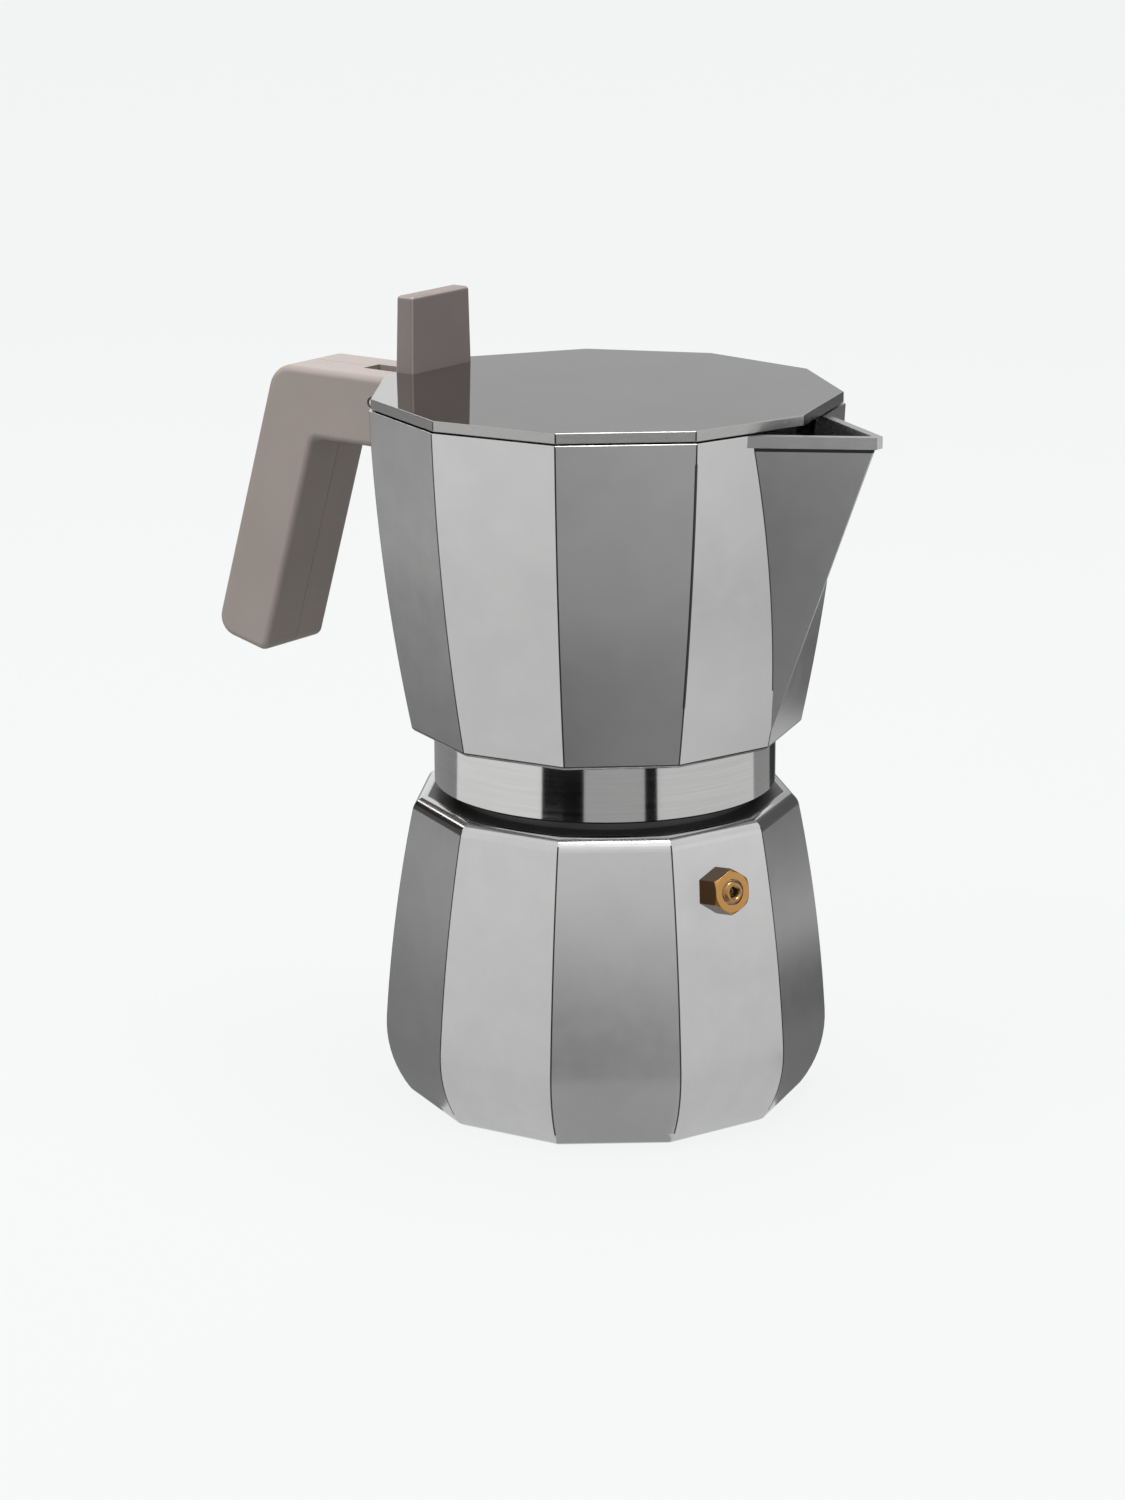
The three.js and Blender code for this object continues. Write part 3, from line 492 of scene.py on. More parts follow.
def markFoot(collector, beak, rim):  # the line where the beak leaves the facets, painted dark as shade in the crease
    low, high = beak.footLineFrom * mm, (rim - beak.bandHeight - beak.bandGap + 0.01) * mm

    def meets(a, b):
        middle = (a + b) / 2
        onWall = abs(middle.xy.length / mm - radiusAt(collectorWall, middle.z / mm)) < beak.footLineNear
        inFront = middle.x > beak.footLineFront * mm and abs(middle.y) > 2 * mm
        return low < min(a.z, b.z) and max(a.z, b.z) < high and onWall and inFront \
            and abs(a.z - b.z) > 0.5 * mm
    pickEdges(collector, meets)
    # the crease's bevel takes the second finish, a painted shade line
    bevelEdges(beak.footLine, 1, material=1, clamp_overlap=False)
    tidyNormals(collector)


def addRing(collector, s):
    # the machined ring below the facets, its bore with the thread, and the hollow over the filter plate
    edge = s.ringEdge
    fuse(collector, growRings("ring", lowEdge(s.ringRadius, s.ringBottom, edge)
            + [(s.ringRadius, s.ringTop + s.lowerEdge)], 160))
    cut(collector, growRings("bore", [(s.ringBore + edge, s.ringBottom - 1)]
            + lowEdge(s.ringBore, s.ringBottom, -edge) + [(s.ringBore, s.gasketSeat)], 160))
    fuse(collector, threadRidge("ring_thread", s.ringBore, *s.thread))
    cut(collector, growRings("hollow", [(s.recessRadius, s.gasketSeat - 1),
            (s.recessRadius, s.gasketSeat), (s.columnFoot, s.recessTop)], 96))
    lugEnd, lugRoot = rearFlat - lugSizes.length, rearFlat + lugSizes.root
    low, high = lugSizes.low, lugSizes.low + lugSizes.height
    lug = sideways("lug", [(lugEnd, low), (lugRoot, low), (lugRoot, high), (lugEnd, high)],
            -lugSizes.width / 2, lugSizes.width / 2)
    roundCorner(lug, lambda a, b: abs(a.x - lugEnd * mm) < 1e-6 and abs(b.x - lugEnd * mm) < 1e-6
            and abs(a.z - b.z) < 1e-6, lugSizes.corner, pi / 2, 4)
    cut(lug, rod("screw_hole", lugSizes.screwRoom, low - 1, high + 1, 32, screwPlace))
    fuse(collector, lug)
    cut(collector, rod("hole", s.columnHole, s.gasketSeat - 1, s.chamberFloor + 1))


def makeCollector(s, beak):
    outside = [(s.lowerRadius - s.lowerEdge, s.ringTop)] + collectorWall
    collector = growRings("collector_casting", outside)
    paint(collector, finishes["collector"], finishes["edge"], finishes["ring"])
    # the ridges' bevels take the second finish, dark lines of painted shade
    soften(collector, s.ridgeWidth * mm, segments=3, material=1)
    footX = radiusAt(collectorWall, beak.footZ)
    outer = wedge("beak", beak, 0, footX, beak.footZ, s.rim, s)
    paint(outer, finishes["collector"], finishes["edge"])
    # painted shadow: the beak's faces just under the band are painted near-black
    paintShadowStrip(outer, s.rim - beak.bandHeight, beak.bandGap)
    fuse(collector, outer)
    fuse(collector, makeBand(beak, s.rim))
    inner = thinner(collectorWall, s.wall, s.chamberFloor + s.floorCorner, s.rim)
    cut(collector, growRings("cavity", rolledUnder(inner[0][0], s.chamberFloor, s.floorCorner)
            + inner[1:] + [(inner[-1][0], s.rim + 1)]))
    cut(collector, wedge("channel", beak, -beak.wall, footX - s.wall, beak.footZ + beak.channelRise,
            s.rim + 2, s))
    tidyNormals(collector)
    joinFlats(collector)
    markFoot(collector, beak, s.rim)
    addRing(collector, s)
    return collector


# Lid: flat plate with a hinge tongue and knuckle

lidSizes = Sizes(
    radius=55.95, low=169.4, high=171.9, edge=0.2, edgeFrom=50,
    tongueWidth=5, tongueRoot=1.6, tongueReach=4, tongueSink=0.02, knuckleRadius=3.4,
    pinX=-61.66, pinZ=163.5, pinRadius=1.35, pinEdge=0.3, pinHole=1.5,
)
# the knob's last size is how far a rounded edge's face must lean from the flats to take the painted highlight
knobSizes = Sizes(
    width=23.2, thickness=5.4, height=18.5, inset=-0.3, sideTaper=0.5, faceTaper=0.2,
    edge=0.85, worn=0.45, screwSpacing=12,
)
knobScrewSizes = Sizes(
    head=1.9, headHeight=1.4, headEdge=0.15, shank=1, length=9, room=0.25, slotWidth=0.6,
    slotDepth=0.6,
)
lidRear = -lidSizes.radius * flat
knobMiddle = lidRear + knobSizes.inset + knobSizes.thickness / 2
screwRows = (-knobSizes.screwSpacing / 2, knobSizes.screwSpacing / 2)


def knobScrewShape(name, y, room, below, sides=40):
    s, low = knobScrewSizes, lidSizes.low
    outline = [(s.head + room, low - below), (s.head + room, low + room),
            (s.shank + room, low + s.headHeight + room), (s.shank + room, low + s.length + room)]
    if below == 0:
        outline = lowEdge(s.head, low, s.headEdge) + outline[2:]
    return growRings(name, outline, sides, place=(knobMiddle, y))


def makeLid(s):
    low, high = s.low, s.high
    lid = rod("lid_plate", s.radius, low, high, facets)
    soften(lid, s.edge * mm, angle=24, segments=3, material=1)
    # the tongue's root lies a hair inside the plate and its foot inside the knuckle
    under, over = low + s.tongueSink, high - s.tongueSink
    inside = s.knuckleRadius - s.tongueSink
    tongue = sideways("tongue", [
        (lidRear - s.tongueRoot, under), (s.pinX + inside, s.pinZ), (s.pinX, s.pinZ - inside),
        (s.pinX - inside * sqrt(0.5), s.pinZ + inside * sqrt(0.5)), (lidRear - s.tongueReach, over),
        (lidRear + 2.5, over), (lidRear + 2.5, under),
    ][::-1], -s.tongueWidth / 2, s.tongueWidth / 2)
    half = s.tongueWidth / 2 + s.tongueSink
    knuckle = crossBar("knuckle", s.knuckleRadius, -half, half, s.pinX, s.pinZ, 64)
    fuse(tongue, knuckle)
    fuse(lid, tongue)
    cut(lid, crossBar("pin_hole", s.pinHole, -5, 5, s.pinX, s.pinZ))
    for y in screwRows:
        cut(lid, knobScrewShape("screw_seat", y, knobScrewSizes.room, 1))
    return lid


def makeKnob(s):
    low = lidSizes.high
    halfX, halfY = s.thickness / 2, s.width / 2
    knob = block("knob_block", (knobMiddle - halfX, -halfY, low),
            (knobMiddle + halfX, halfY, low + s.height))
    pickFaces(knob, lambda c, n: n.z > 0.9)
    stretch(1 - s.faceTaper / halfX, 1 - s.sideTaper / halfY, 1, (knobMiddle * mm, 0, 0))
    leaveEdit()
    pickEdges(knob, lambda a, b: max(a.z, b.z) > (low + 1) * mm)  # every edge but the foot
    bevelEdges(s.edge, 6)
    for y in screwRows:
        cut(knob, knobScrewShape("screw_seat", y, knobScrewSizes.room, 1))
    return knob


def screwSlot(s, place, low):
    x, y = place
    return block("slot", (x - 4, y - s.slotWidth / 2, low - 1), (x + 4, y + s.slotWidth / 2, low + s.slotDepth))


def makeKnobScrew(name, y):
    s, low = knobScrewSizes, lidSizes.low
    screw = knobScrewShape(name, y, 0, 0)
    return cut(screw, screwSlot(s, (knobMiddle, y), low))


# Handle: two moulded halves that meet on the middle plane

handleSizes = Sizes(
    thickness=22.4, top=170, armHeight=17.6, gripDepth=17, gripAngle=16.4, endTilt=3.2,
    gripReach=26.5, gripLength=58.8, outerCorner=7, innerCorner=1.5, endOuterCorner=5,
    endInnerCorner=2.5, edge=1.8, wall=2.6, bodyGap=0.35, seam=0.12,
    slotWidth=6, slotRear=-70.86, slotLow=159.7,
    bossRadius=3.6, bossGap=0.4, headRecess=3.5, recessDepth=1.5,
    ribs=4, ribThickness=1.4, ribSeam=1,
)


def handleCorners(s, wall):
    angle = radians(s.gripAngle)
    armBottom = s.top - s.armHeight
    down = Vector((-sin(angle), -cos(angle)))
    outward = Vector((-cos(angle), sin(angle)))
    innerEnd = Vector((rearFlat - s.gripReach, armBottom)) + down * s.gripLength
    outerEnd = innerEnd + outward * s.gripDepth + down * s.gripDepth * tan(radians(s.endTilt))

    def atHeight(point, height):
        return point + down * ((height - point.y) / down.y)

    def endX(height):
        return -radiusAt(collectorWall, height) * flat - s.bodyGap
    inner, outer = innerEnd + outward * wall, outerEnd - outward * wall
    beyond = 1 if wall else 0

    def corner(key):
        return max(s[key] - wall, s[key] / 4)
    return [
        (*atHeight(inner, armBottom + wall), corner("innerCorner")),
        (*(inner - down * wall), corner("endInnerCorner")),
        (*(outer - down * wall), corner("endOuterCorner")),
        (*atHeight(outer, s.top - wall), corner("outerCorner")),
        (endX(s.top) + beyond, s.top - wall, 0),
        (endX(armBottom) + beyond, armBottom + wall, 0),
    ]


def handleSolid(name, s, wall, half):
    corners = handleCorners(s, wall)
    flatOutline = [(x, z) for x, z, radius in corners]
    solid = sideways(name, flatOutline[::-1], -half, half)
    for i, (x, z, radius) in enumerate(corners):
        if not radius:
            continue
        here = Vector((x, z))
        before = (Vector(corners[i - 1][:2]) - here).normalized()
        after = (Vector(corners[(i + 1) % len(corners)][:2]) - here).normalized()
        inside = before.angle(after)

        def atCorner(a, b):
            return all(abs(p.x - x * mm) < 2e-6 and abs(p.z - z * mm) < 2e-6 for p in (a, b))
        roundCorner(solid, atCorner, radius, inside)
    return solid


def addRibs(piece, s, side):  # webs across the hollow of the grip, short of the parting plane
    angle = radians(s.gripAngle)
    half = s.thickness / 2 - s.wall / 2
    low, high = (s.ribSeam, half) if side > 0 else (-half, -s.ribSeam)
    for i in range(s.ribs):
        along = s.gripLength * (i + 0.5) / s.ribs
        rib = block("rib", (-s.gripDepth + s.wall / 2, low, -s.ribThickness / 2),
                (-s.wall / 2, high, s.ribThickness / 2))
        place = Vector((rearFlat - s.gripReach - sin(angle) * along, 0,
                s.top - s.armHeight - cos(angle) * along)) * mm
        laid(rib, Matrix.Translation(place) @ Matrix.Rotation(angle, 4, "Y"))
        fuse(piece, rib)


def makeHandle(s):
    half = s.thickness / 2
    armBottom = s.top - s.armHeight
    whole = handleSolid("handle", s, 0, half)
    # the long edges all round both side faces, but not where the arm meets the casting
    pickEdges(whole, lambda a, b: abs(abs(a.y) - half * mm) < 1e-6 and abs(a.y - b.y) < 1e-6
            and not (abs(a.x - b.x) < 3 * mm and min(a.x, b.x) > (rearFlat - 2) * mm
                    and abs(a.z - b.z) > 5 * mm))
    bevelEdges(s.edge, 6)
    cut(whole, handleSolid("hollow", s, s.wall, half - s.wall))
    halves = []
    for side, name in ((-1, "handle_half_right"), (1, "handle_half_left")):
        takeOnly(whole)
        bpy.ops.object.duplicate()
        piece = newest(name)
        span = (-30, -s.seam / 2) if side < 0 else (s.seam / 2, 30)
        keep = block("keep", (-140, span[0], 60), (-40, span[1], 200))
        combine(piece, keep, "INTERSECT")
        addRibs(piece, s, side)
        near, far = lidSizes.tongueWidth / 2 + s.bossGap, half - s.wall / 2
        low, high = (near, far) if side > 0 else (-far, -near)
        fuse(piece, crossBar("boss", s.bossRadius, low, high, lidSizes.pinX, lidSizes.pinZ))
        cut(piece, block("slot", (s.slotRear, -s.slotWidth / 2, s.slotLow), (-50, s.slotWidth / 2, s.top + 1)))
        cut(piece, crossBar("pin_hole", lidSizes.pinHole, -half - 1, half + 1, lidSizes.pinX, lidSizes.pinZ))
        cut(piece, rod("recess", s.headRecess, armBottom - 1, armBottom + s.recessDepth, 40, screwPlace))
        cut(piece, rod("bore", lugSizes.screwRoom, armBottom, lugSizes.low - 0.1, 32, screwPlace))
        halves.append(piece)
    bpy.data.objects.remove(whole, do_unlink=True)
    return halves


handleScrewSizes = Sizes(
    head=3.2, shank=1.75, front=152.6, back=153.6, end=159.2, slotWidth=0.8, slotDepth=0.7,
    edge=0.25,
)


def makeHandleScrew(s):
    screw = growRings("handle_screw_head", lowEdge(s.head, s.front, s.edge)
            + [(s.head, s.back), (s.shank, s.back), (s.shank, s.end)], 48, screwPlace)
    return cut(screw, screwSlot(s, screwPlace, s.front))


def makeHingePin():
    s, half = lidSizes, handleSizes.thickness / 2 - fitRoom
    return crossBar("pin", s.pinRadius, -half, half, s.pinX, s.pinZ, edge=s.pinEdge)


# Safety valve, drawn along +Z and laid onto its axis

valveSizes = Sizes(
    height=61, sideOffset=-2.05, acrossFlats=9.5, depth=6.6, back=0.3, turn=-5,
    shank=4, shankLength=8, bore=3.05, boreDepth=4.8, chamber=2.6, seat=2, seatHole=1.3,
    ball=2, nozzleWall=1.34, nozzleProud=0.8, nozzleEdge=0.9, spring=1.5, wire=0.3, coils=3.5,
    ballTravel=1.2, shankEdge=0.5, holeEdge=0.25,
    # the hexagon's turned front: how far inside the flats, then the rounding's width and its two heights
    faceInset=0.08, roundWidth=0.28, roundHigh=0.22, roundLow=0.75,
)


def valveMatrix(s):
    step = 0.5
    slope = (radiusAt(boilerWall, s.height + step) - radiusAt(boilerWall, s.height - step)) * flat
    onFacet = Vector((radiusAt(boilerWall, s.height) * flat, s.sideOffset, s.height)) * mm
    return (Matrix.Rotation(radians(boilerSizes.yaw), 4, "Z") @ Matrix.Rotation(-pi / facets, 4, "Z")
            @ Matrix.Translation(onFacet) @ Matrix.Rotation(atan2(slope, 1), 4, "Y")
            @ Matrix.Rotation(pi / 2, 4, "Y"))


def makeValveBody(s):
    front = s.back + s.depth
    end = s.back - s.shankLength
    corner = s.acrossFlats / sqrt(3)
    head = rod("hexagon", corner, s.back, front, 6, turn=radians(s.turn))
    face, beyond = s.acrossFlats / 2 - s.faceInset, corner + 0.02
    rounding = growRings("rounding", [(beyond, s.back - 0.5), (beyond, front - s.roundLow),
            (face + s.roundWidth, front - s.roundHigh), (face, front)], 96)
    combine(head, rounding, "INTERSECT")
    fuse(head, growRings("shank", lowEdge(s.shank, end, s.shankEdge) + [(s.shank, s.back + 1)], 48))
    cut(head, growRings("bore", [(s.seatHole, end - 1), (s.seatHole, end + s.seat),
            (s.chamber, end + s.seat), (s.chamber, front - s.boreDepth),
            (s.bore, front - s.boreDepth), (s.bore, front + 1)], 64))
    soften(head, 0.12 * mm, angle=24, segments=2)
    return laid(head, valveMatrix(s))


def makeNozzle(s):
    front = s.back + s.depth
    outer = s.bore - fitRoom
    inner = outer - s.nozzleWall
    top = front + s.nozzleProud
    outline = [(outer, front - s.boreDepth + fitRoom)] + rolled(outer, top, s.nozzleEdge, 6)
    nozzle = growRings("nozzle_ring", outline, 64)
    cut(nozzle, growRings("hole", [(inner, front - s.boreDepth - 1)] + highEdge(inner, top, -s.holeEdge)
            + [(inner + s.holeEdge, top + 1)], 48))
    return laid(nozzle, valveMatrix(s))


def valveBallCentre(s):
    return s.back - s.shankLength + s.seat + sqrt(s.ball ** 2 - s.seatHole ** 2) + fitRoom


def makeBall(s):
    centre, radius, steps = valveBallCentre(s), s.ball, 20
    turns = [pi * (i + 0.1) / (steps + 0.2) for i in range(steps + 1)]
    ball = growRings("ball", [(radius * sin(a), centre - radius * cos(a)) for a in turns], 32)
    return laid(ball, valveMatrix(s))


def springEnds(s):
    return (valveBallCentre(s) + sqrt(s.ball ** 2 - s.spring ** 2) + s.wire + fitRoom,
            s.back + s.depth - s.boreDepth + fitRoom - s.wire - fitRoom)


def makeSpring(s):
    low, high = springEnds(s)
    spring = circle("spring", 8, s.wire / 2 * mm, (s.spring * mm, 0, low * mm), (pi / 2, 0, 0), "NOTHING")
    apply(spring, "SCREW", angle=2 * pi * s.coils, screw_offset=(high - low) * mm, iterations=1,
          steps=int(24 * s.coils), render_steps=int(24 * s.coils), axis="Z")
    closeEnds(spring)
    return laid(spring, valveMatrix(s))


# Funnel, gasket, filter plate and column

funnelSizes = Sizes(
    cup=33, sheet=1, flange=36.2, flangeLow=88.8, cupLow=65.8, coneLow=54.8, tube=4.5,
    tubeWall=0.8, tubeLow=8.5, socket=6, ledge=0.9, plate=0.8, hole=0.55, pitch=2.6,
    margin=2.7, flangeEdge=0.3, lip=0.4, tubeEdge=0.2,
)
gasketSizes = Sizes(inner=29.6, outer=36.4, low=90.1, high=93.3, edge=0.6)
filterSizes = Sizes(radius=29.3, top=93.3, dish=1.1, sheet=0.7, field=26.3, inset=0.4, hole=0.45,
        pitch=2.3, margin=1.6)
columnSizes = Sizes(
    foot=9.5, footLow=98.4, stem=7.9, top=6.6, topHeight=150.1, dome=3.5, bore=3.4,
    spigot=5.5, spigotLow=95.4, slotWidth=4.6, slotHeight=6.5, slotRoof=0.3, slotCorner=0.8,
    peak=0.5, domeBow=1.4,
    footSteps=((0, 0), (0, 0.8), (-0.25, 1.1)), stemSteps=((0.4, 2.4), (0, 3)),  # outwards, up
)


def makeFunnelCup(s):
    room, low, top = s.tube + fitRoom, s.cupLow - s.ledge, s.flangeLow + s.sheet
    cup = growRings("cup", [
        (room + s.sheet, s.coneLow - s.socket), (room + s.sheet, s.coneLow), (s.cup - s.ledge, low),
        (s.cup, s.cupLow), (s.cup, s.flangeLow)]
        + lowEdge(s.flange, s.flangeLow, s.flangeEdge) + highEdge(s.flange, top, s.flangeEdge), 128)
    inner = s.cup - s.sheet
    return cut(cup, growRings("hollow", [
        (room, s.coneLow - s.socket - 1), (room, s.coneLow + s.sheet), (inner - s.ledge, low),
        (inner - s.ledge, s.cupLow), (inner, s.cupLow)] + highEdge(inner, top, -s.lip)
        + [(inner + s.lip, top + 1)], 128))


def makeFunnelTube(s):
    tube = growRings("tube", lowEdge(s.tube, s.tubeLow, s.tubeEdge) + [(s.tube, s.coneLow + s.sheet)], 64)
    return cut(tube, rod("bore", s.tube - s.tubeWall, s.tubeLow - 1, s.coneLow + 2, 64))


def perforate(piece, reach, hole, pitch, low, high):
    # one rod copied along straight rows, and all of the rods cut out together
    rods = rod("rods", hole, low, high, 10)
    row = pitch * sin(pi / 3)
    rows, columns = int(reach / row), int(reach / pitch) + 1
    copies = []
    for r in range(-rows, rows + 1):
        for c in range(-columns, columns + 1):
            x, y = c * pitch + (pitch / 2 if r % 2 else 0), r * row
            if 0 < hypot(x, y) <= reach:
                copy = bpy.data.objects.new("rod", rods.data.copy())
                bpy.context.scene.collection.objects.link(copy)
                copy.location = (x * mm, y * mm, 0)
                copies.append(copy)
    takeOnly(rods)
    for copy in copies:
        copy.select_set(True)
    bpy.ops.object.join()
    return cut(piece, rods)


def makeFunnelPlate(s):
    radius = s.cup - s.sheet - fitRoom
    plate = rod("plate", radius, s.cupLow, s.cupLow + s.plate, 96)
    return perforate(plate, radius - s.margin, s.hole, s.pitch, s.cupLow - 1, s.cupLow + 2)


def makeGasket(s):
    edge = s.edge
    gasket = growRings("gasket_ring", rolledUnder(s.outer, s.low, edge) + rolled(s.outer, s.high, edge),
            128)
    return cut(gasket, growRings("bore", [(s.inner + edge, s.low - 1)] + lowEdge(s.inner, s.low, -edge)
            + highEdge(s.inner, s.high, -edge) + [(s.inner + edge, s.high + 1)], 128))


def makeFilterPlate(s):
    middle = s.top - s.dish
    plate = growRings("filter", [(s.field - s.inset, middle - s.sheet),
            (s.field + s.dish - s.inset, s.top - s.sheet), (s.radius, s.top - s.sheet),
            (s.radius, s.top)], 96)
    cut(plate, growRings("dish", [(s.field - s.sheet, middle), (s.field + s.dish - s.sheet, s.top),
            (s.field + s.dish - s.sheet, s.top + 1)], 96))
    return perforate(plate, s.field - s.margin - s.sheet, s.hole, s.pitch, middle - 2, middle + 1)


def makeColumn(s):
    shoulder = s.topHeight - s.dome
    boreTop = shoulder - s.dome / 3
    low = s.footLow
    outline = [(s.spigot, s.spigotLow), (s.spigot, low)]
    outline += [(s.foot + out, low + up) for out, up in s.footSteps]
    outline += [(s.stem + out, low + up) for out, up in s.stemSteps]
    outline += [(s.top, shoulder)] + bowed((s.top, shoulder), (s.peak, s.topHeight), s.domeBow, 8)[1:]
    column = growRings("column_stem", outline, 64)
    cut(column, rod("bore", s.bore, s.spigotLow - 1, boreTop))
    outlets = block("outlets", (-12, -s.slotWidth / 2, boreTop - s.slotHeight),
            (12, s.slotWidth / 2, boreTop - s.slotRoof))
    roundCorner(outlets, lambda a, b: abs(a.y - b.y) < 1e-7 and abs(a.z - b.z) < 1e-7, s.slotCorner, pi / 2, 3)
    return cut(column, outlets)


# Materials. Patterns read Object coordinates, in metres.

def newMaterial(name):
    material = bpy.data.materials.new(name)
    material.use_nodes = True
    return material, material.node_tree


def setInputs(tree, node, values):  # each value is a constant or another node's output
    for key, value in values.items():
        if isinstance(value, bpy.types.NodeSocket):
            tree.links.new(value, node.inputs[key])
        else:
            node.inputs[key].default_value = value


def addNode(tree, kind, values, **settings):
    node = tree.nodes.new("ShaderNode" + kind)
    for key, value in settings.items():
        setattr(node, key, value)
    setInputs(tree, node, values)
    return node


def startMaterial(name, colour, metallic, roughness):
    material, tree = newMaterial(name)
    shader = tree.nodes["Principled BSDF"]
    setInputs(tree, shader, {"Base Color": (*colour, 1), "Metallic": metallic, "Roughness": roughness})
    return material, tree, shader, addNode(tree, "TexCoord", {}).outputs["Object"]


def addNoise(tree, place, scale, detail=3, roughness=0.5, drawnOut=None):
    if drawnOut:
        place = addNode(tree, "Mapping", {"Vector": place, "Scale": drawnOut}).outputs["Vector"]
    return addNode(tree, "TexNoise", {"Vector": place, "Scale": scale, "Detail": detail,
            "Roughness": roughness}).outputs["Fac"]


def addShades(tree, value, positions, *colours):
    ramp = addNode(tree, "ValToRGB", {"Fac": value})
    for stop, position, colour in zip(ramp.color_ramp.elements, positions, colours):
        stop.position = position
        stop.color = (*colour, 1)
    return ramp.outputs["Color"]


def addRange(tree, value, low, high):
    return addNode(tree, "MapRange", {"Value": value, "From Min": 0.3, "From Max": 0.7, "To Min": low,
            "To Max": high}).outputs["Result"]


def addBump(tree, height, strength, depth):
    return addNode(tree, "Bump", {"Height": height, "Strength": strength,
            "Distance": depth * mm}).outputs["Normal"]


grainSizes = Sizes(
    cast=1500, castDepth=0.02, moulded=1900, mouldedDepth=0.03, mouldedStrength=0.1, mouldedCloud=45,
    mouldedGloss=0.45,
)


def castMetal(name, tone, low, high, blotch=70, grainStrength=0.012):
    material, tree, shader, place = startMaterial(name, (tone,) * 3, 1, (low + high) / 2)
    cloud = addNoise(tree, place, blotch, 4, 0.6)
    patch = addNoise(tree, place, blotch * 2)
    grain = addNoise(tree, place, grainSizes.cast, 2)
    setInputs(tree, shader, {
        "Base Color": addShades(tree, cloud, (0.32, 0.68), (tone * 0.97,) * 3,
                (tone * 1.025, tone * 1.025, tone * 1.02)),
        "Roughness": addRange(tree, patch, low, high),
        "Normal": addBump(tree, grain, grainStrength, grainSizes.castDepth),
    })
    return material


def lighter(tone, times):
    return [min(c * times, 1) for c in tone]


def brushedMetal(name, tone, low, high, drawnOut, scale, grooves=0.12):
    material, tree, shader, place = startMaterial(name, tone, 1, (low + high) / 2)
    line = addNoise(tree, place, scale, 4, 0.7, drawnOut)
    setInputs(tree, shader, {
        "Base Color": addShades(tree, line, (0.3, 0.7), lighter(tone, 0.95), lighter(tone, 1.04)),
        "Roughness": addRange(tree, line, low, high),
        "Normal": addBump(tree, line, grooves, grainSizes.castDepth),
    })
    return material


def mouldedPlastic(name, tone, low, high):
    material, tree, shader, place = startMaterial(name, tone, 0, (low + high) / 2)
    cloud = addNoise(tree, place, grainSizes.mouldedCloud)
    grain = addNoise(tree, place, grainSizes.moulded, 3, 0.6)
    setInputs(tree, shader, {
        "Specular IOR Level": grainSizes.mouldedGloss,
        "Base Color": addShades(tree, cloud, (0.3, 0.7), lighter(tone, 0.95), lighter(tone, 1.05)),
        "Roughness": addRange(tree, grain, low, high),
        "Normal": addBump(tree, grain, grainSizes.mouldedStrength, grainSizes.mouldedDepth),
    })
    return material


finishes = {
    "cast": castMetal("satin_cast_aluminium", 0.6, 0.29, 0.32, 120, 0.006),
    # painted shade: near-black lines for the castings' ridges and creases and the lid's corners, standing in for
    # shade and dark reflections
    "edge": castMetal("painted_shade_lines", 0.07, 0.25, 0.35),
    "shoulder": castMetal("smooth_shoulder_aluminium", 0.6, 0.11, 0.14, 110, 0.004),
    "collector": castMetal("satin_collector_aluminium", 0.6, 0.23, 0.26, 110, 0.008),
    # painted shade: a dark grey for the neck, standing for the shade in the gap under the ring
    "neck": castMetal("painted_shade_neck", 0.14, 0.4, 0.5),
    "ring": brushedMetal("turned_ring_aluminium", (0.7, 0.7, 0.695), 0.07, 0.1, (0.02, 0.02, 1), 1600, 0.03),
    "lidTop": castMetal("smooth_lid_aluminium", 0.42, 0.03, 0.05, 50, 0.01),
    "lidEdge": brushedMetal("brushed_lid_edge", (0.42, 0.42, 0.415), 0.2, 0.28, (1, 1, 6), 300, 0.04),
    "sheet": brushedMetal("pressed_sheet_aluminium", (0.68, 0.68, 0.67), 0.22, 0.34, (1, 1, 0.2), 700),
    "brass": brushedMetal("turned_brass", (0.5, 0.27, 0.09), 0.16, 0.26, (1, 1, 1), 1600),
    "brassSide": brushedMetal("tarnished_brass", (0.1, 0.05, 0.017), 0.18, 0.3, (1, 1, 1), 900),
    "nozzle": brushedMetal("turned_brass_nozzle", (0.42, 0.235, 0.09), 0.1, 0.18, (1, 1, 1), 2000),
    "steel": brushedMetal("bright_steel", (0.62, 0.62, 0.6), 0.18, 0.28, (1, 1, 0.3), 1200),
    "rubber": mouldedPlastic("pale_rubber", (0.72, 0.68, 0.6), 0.55, 0.7),
    "handle": mouldedPlastic("taupe_handle_plastic", (0.325, 0.275, 0.253), 0.34, 0.46),
    "knob": mouldedPlastic("taupe_knob_plastic", (0.205, 0.168, 0.159), 0.32, 0.44),
    # painted highlight: a lighter taupe laid along the middle of the knob's rounded edges
    "knobHighlight": mouldedPlastic("painted_highlight_knob_edge", (0.33, 0.275, 0.25), 0.28, 0.36),
}


# Every piece is made, painted and set to ride with its body

boiler = makeBoiler(boilerSizes)
collector = makeCollector(collectorSizes, beakSizes)
print("castings made")
lid = makeLid(lidSizes)
knob = makeKnob(knobSizes)
knobScrews = [makeKnobScrew(f"knob_screw_head_{i + 1}", y) for i, y in enumerate(screwRows)]
handleRight, handleLeft = makeHandle(handleSizes)
handleScrew = makeHandleScrew(handleScrewSizes)
hingePin = makeHingePin()
print("lid, knob and handle made")
valveBody = makeValveBody(valveSizes)
nozzle = makeNozzle(valveSizes)
ball = makeBall(valveSizes)
spring = makeSpring(valveSizes)
cut(boiler, laid(rod("shank_hole", valveSizes.shank + fitRoom, -valveSizes.shankLength, valveSizes.shankLength),
        valveMatrix(valveSizes)))
print("valve made")
funnelCup = makeFunnelCup(funnelSizes)
funnelTube = makeFunnelTube(funnelSizes)
funnelPlate = makeFunnelPlate(funnelSizes)
gasket = makeGasket(gasketSizes)
filterPlate = makeFilterPlate(filterSizes)
column = makeColumn(columnSizes)
print("funnel, gasket, filter and column made")
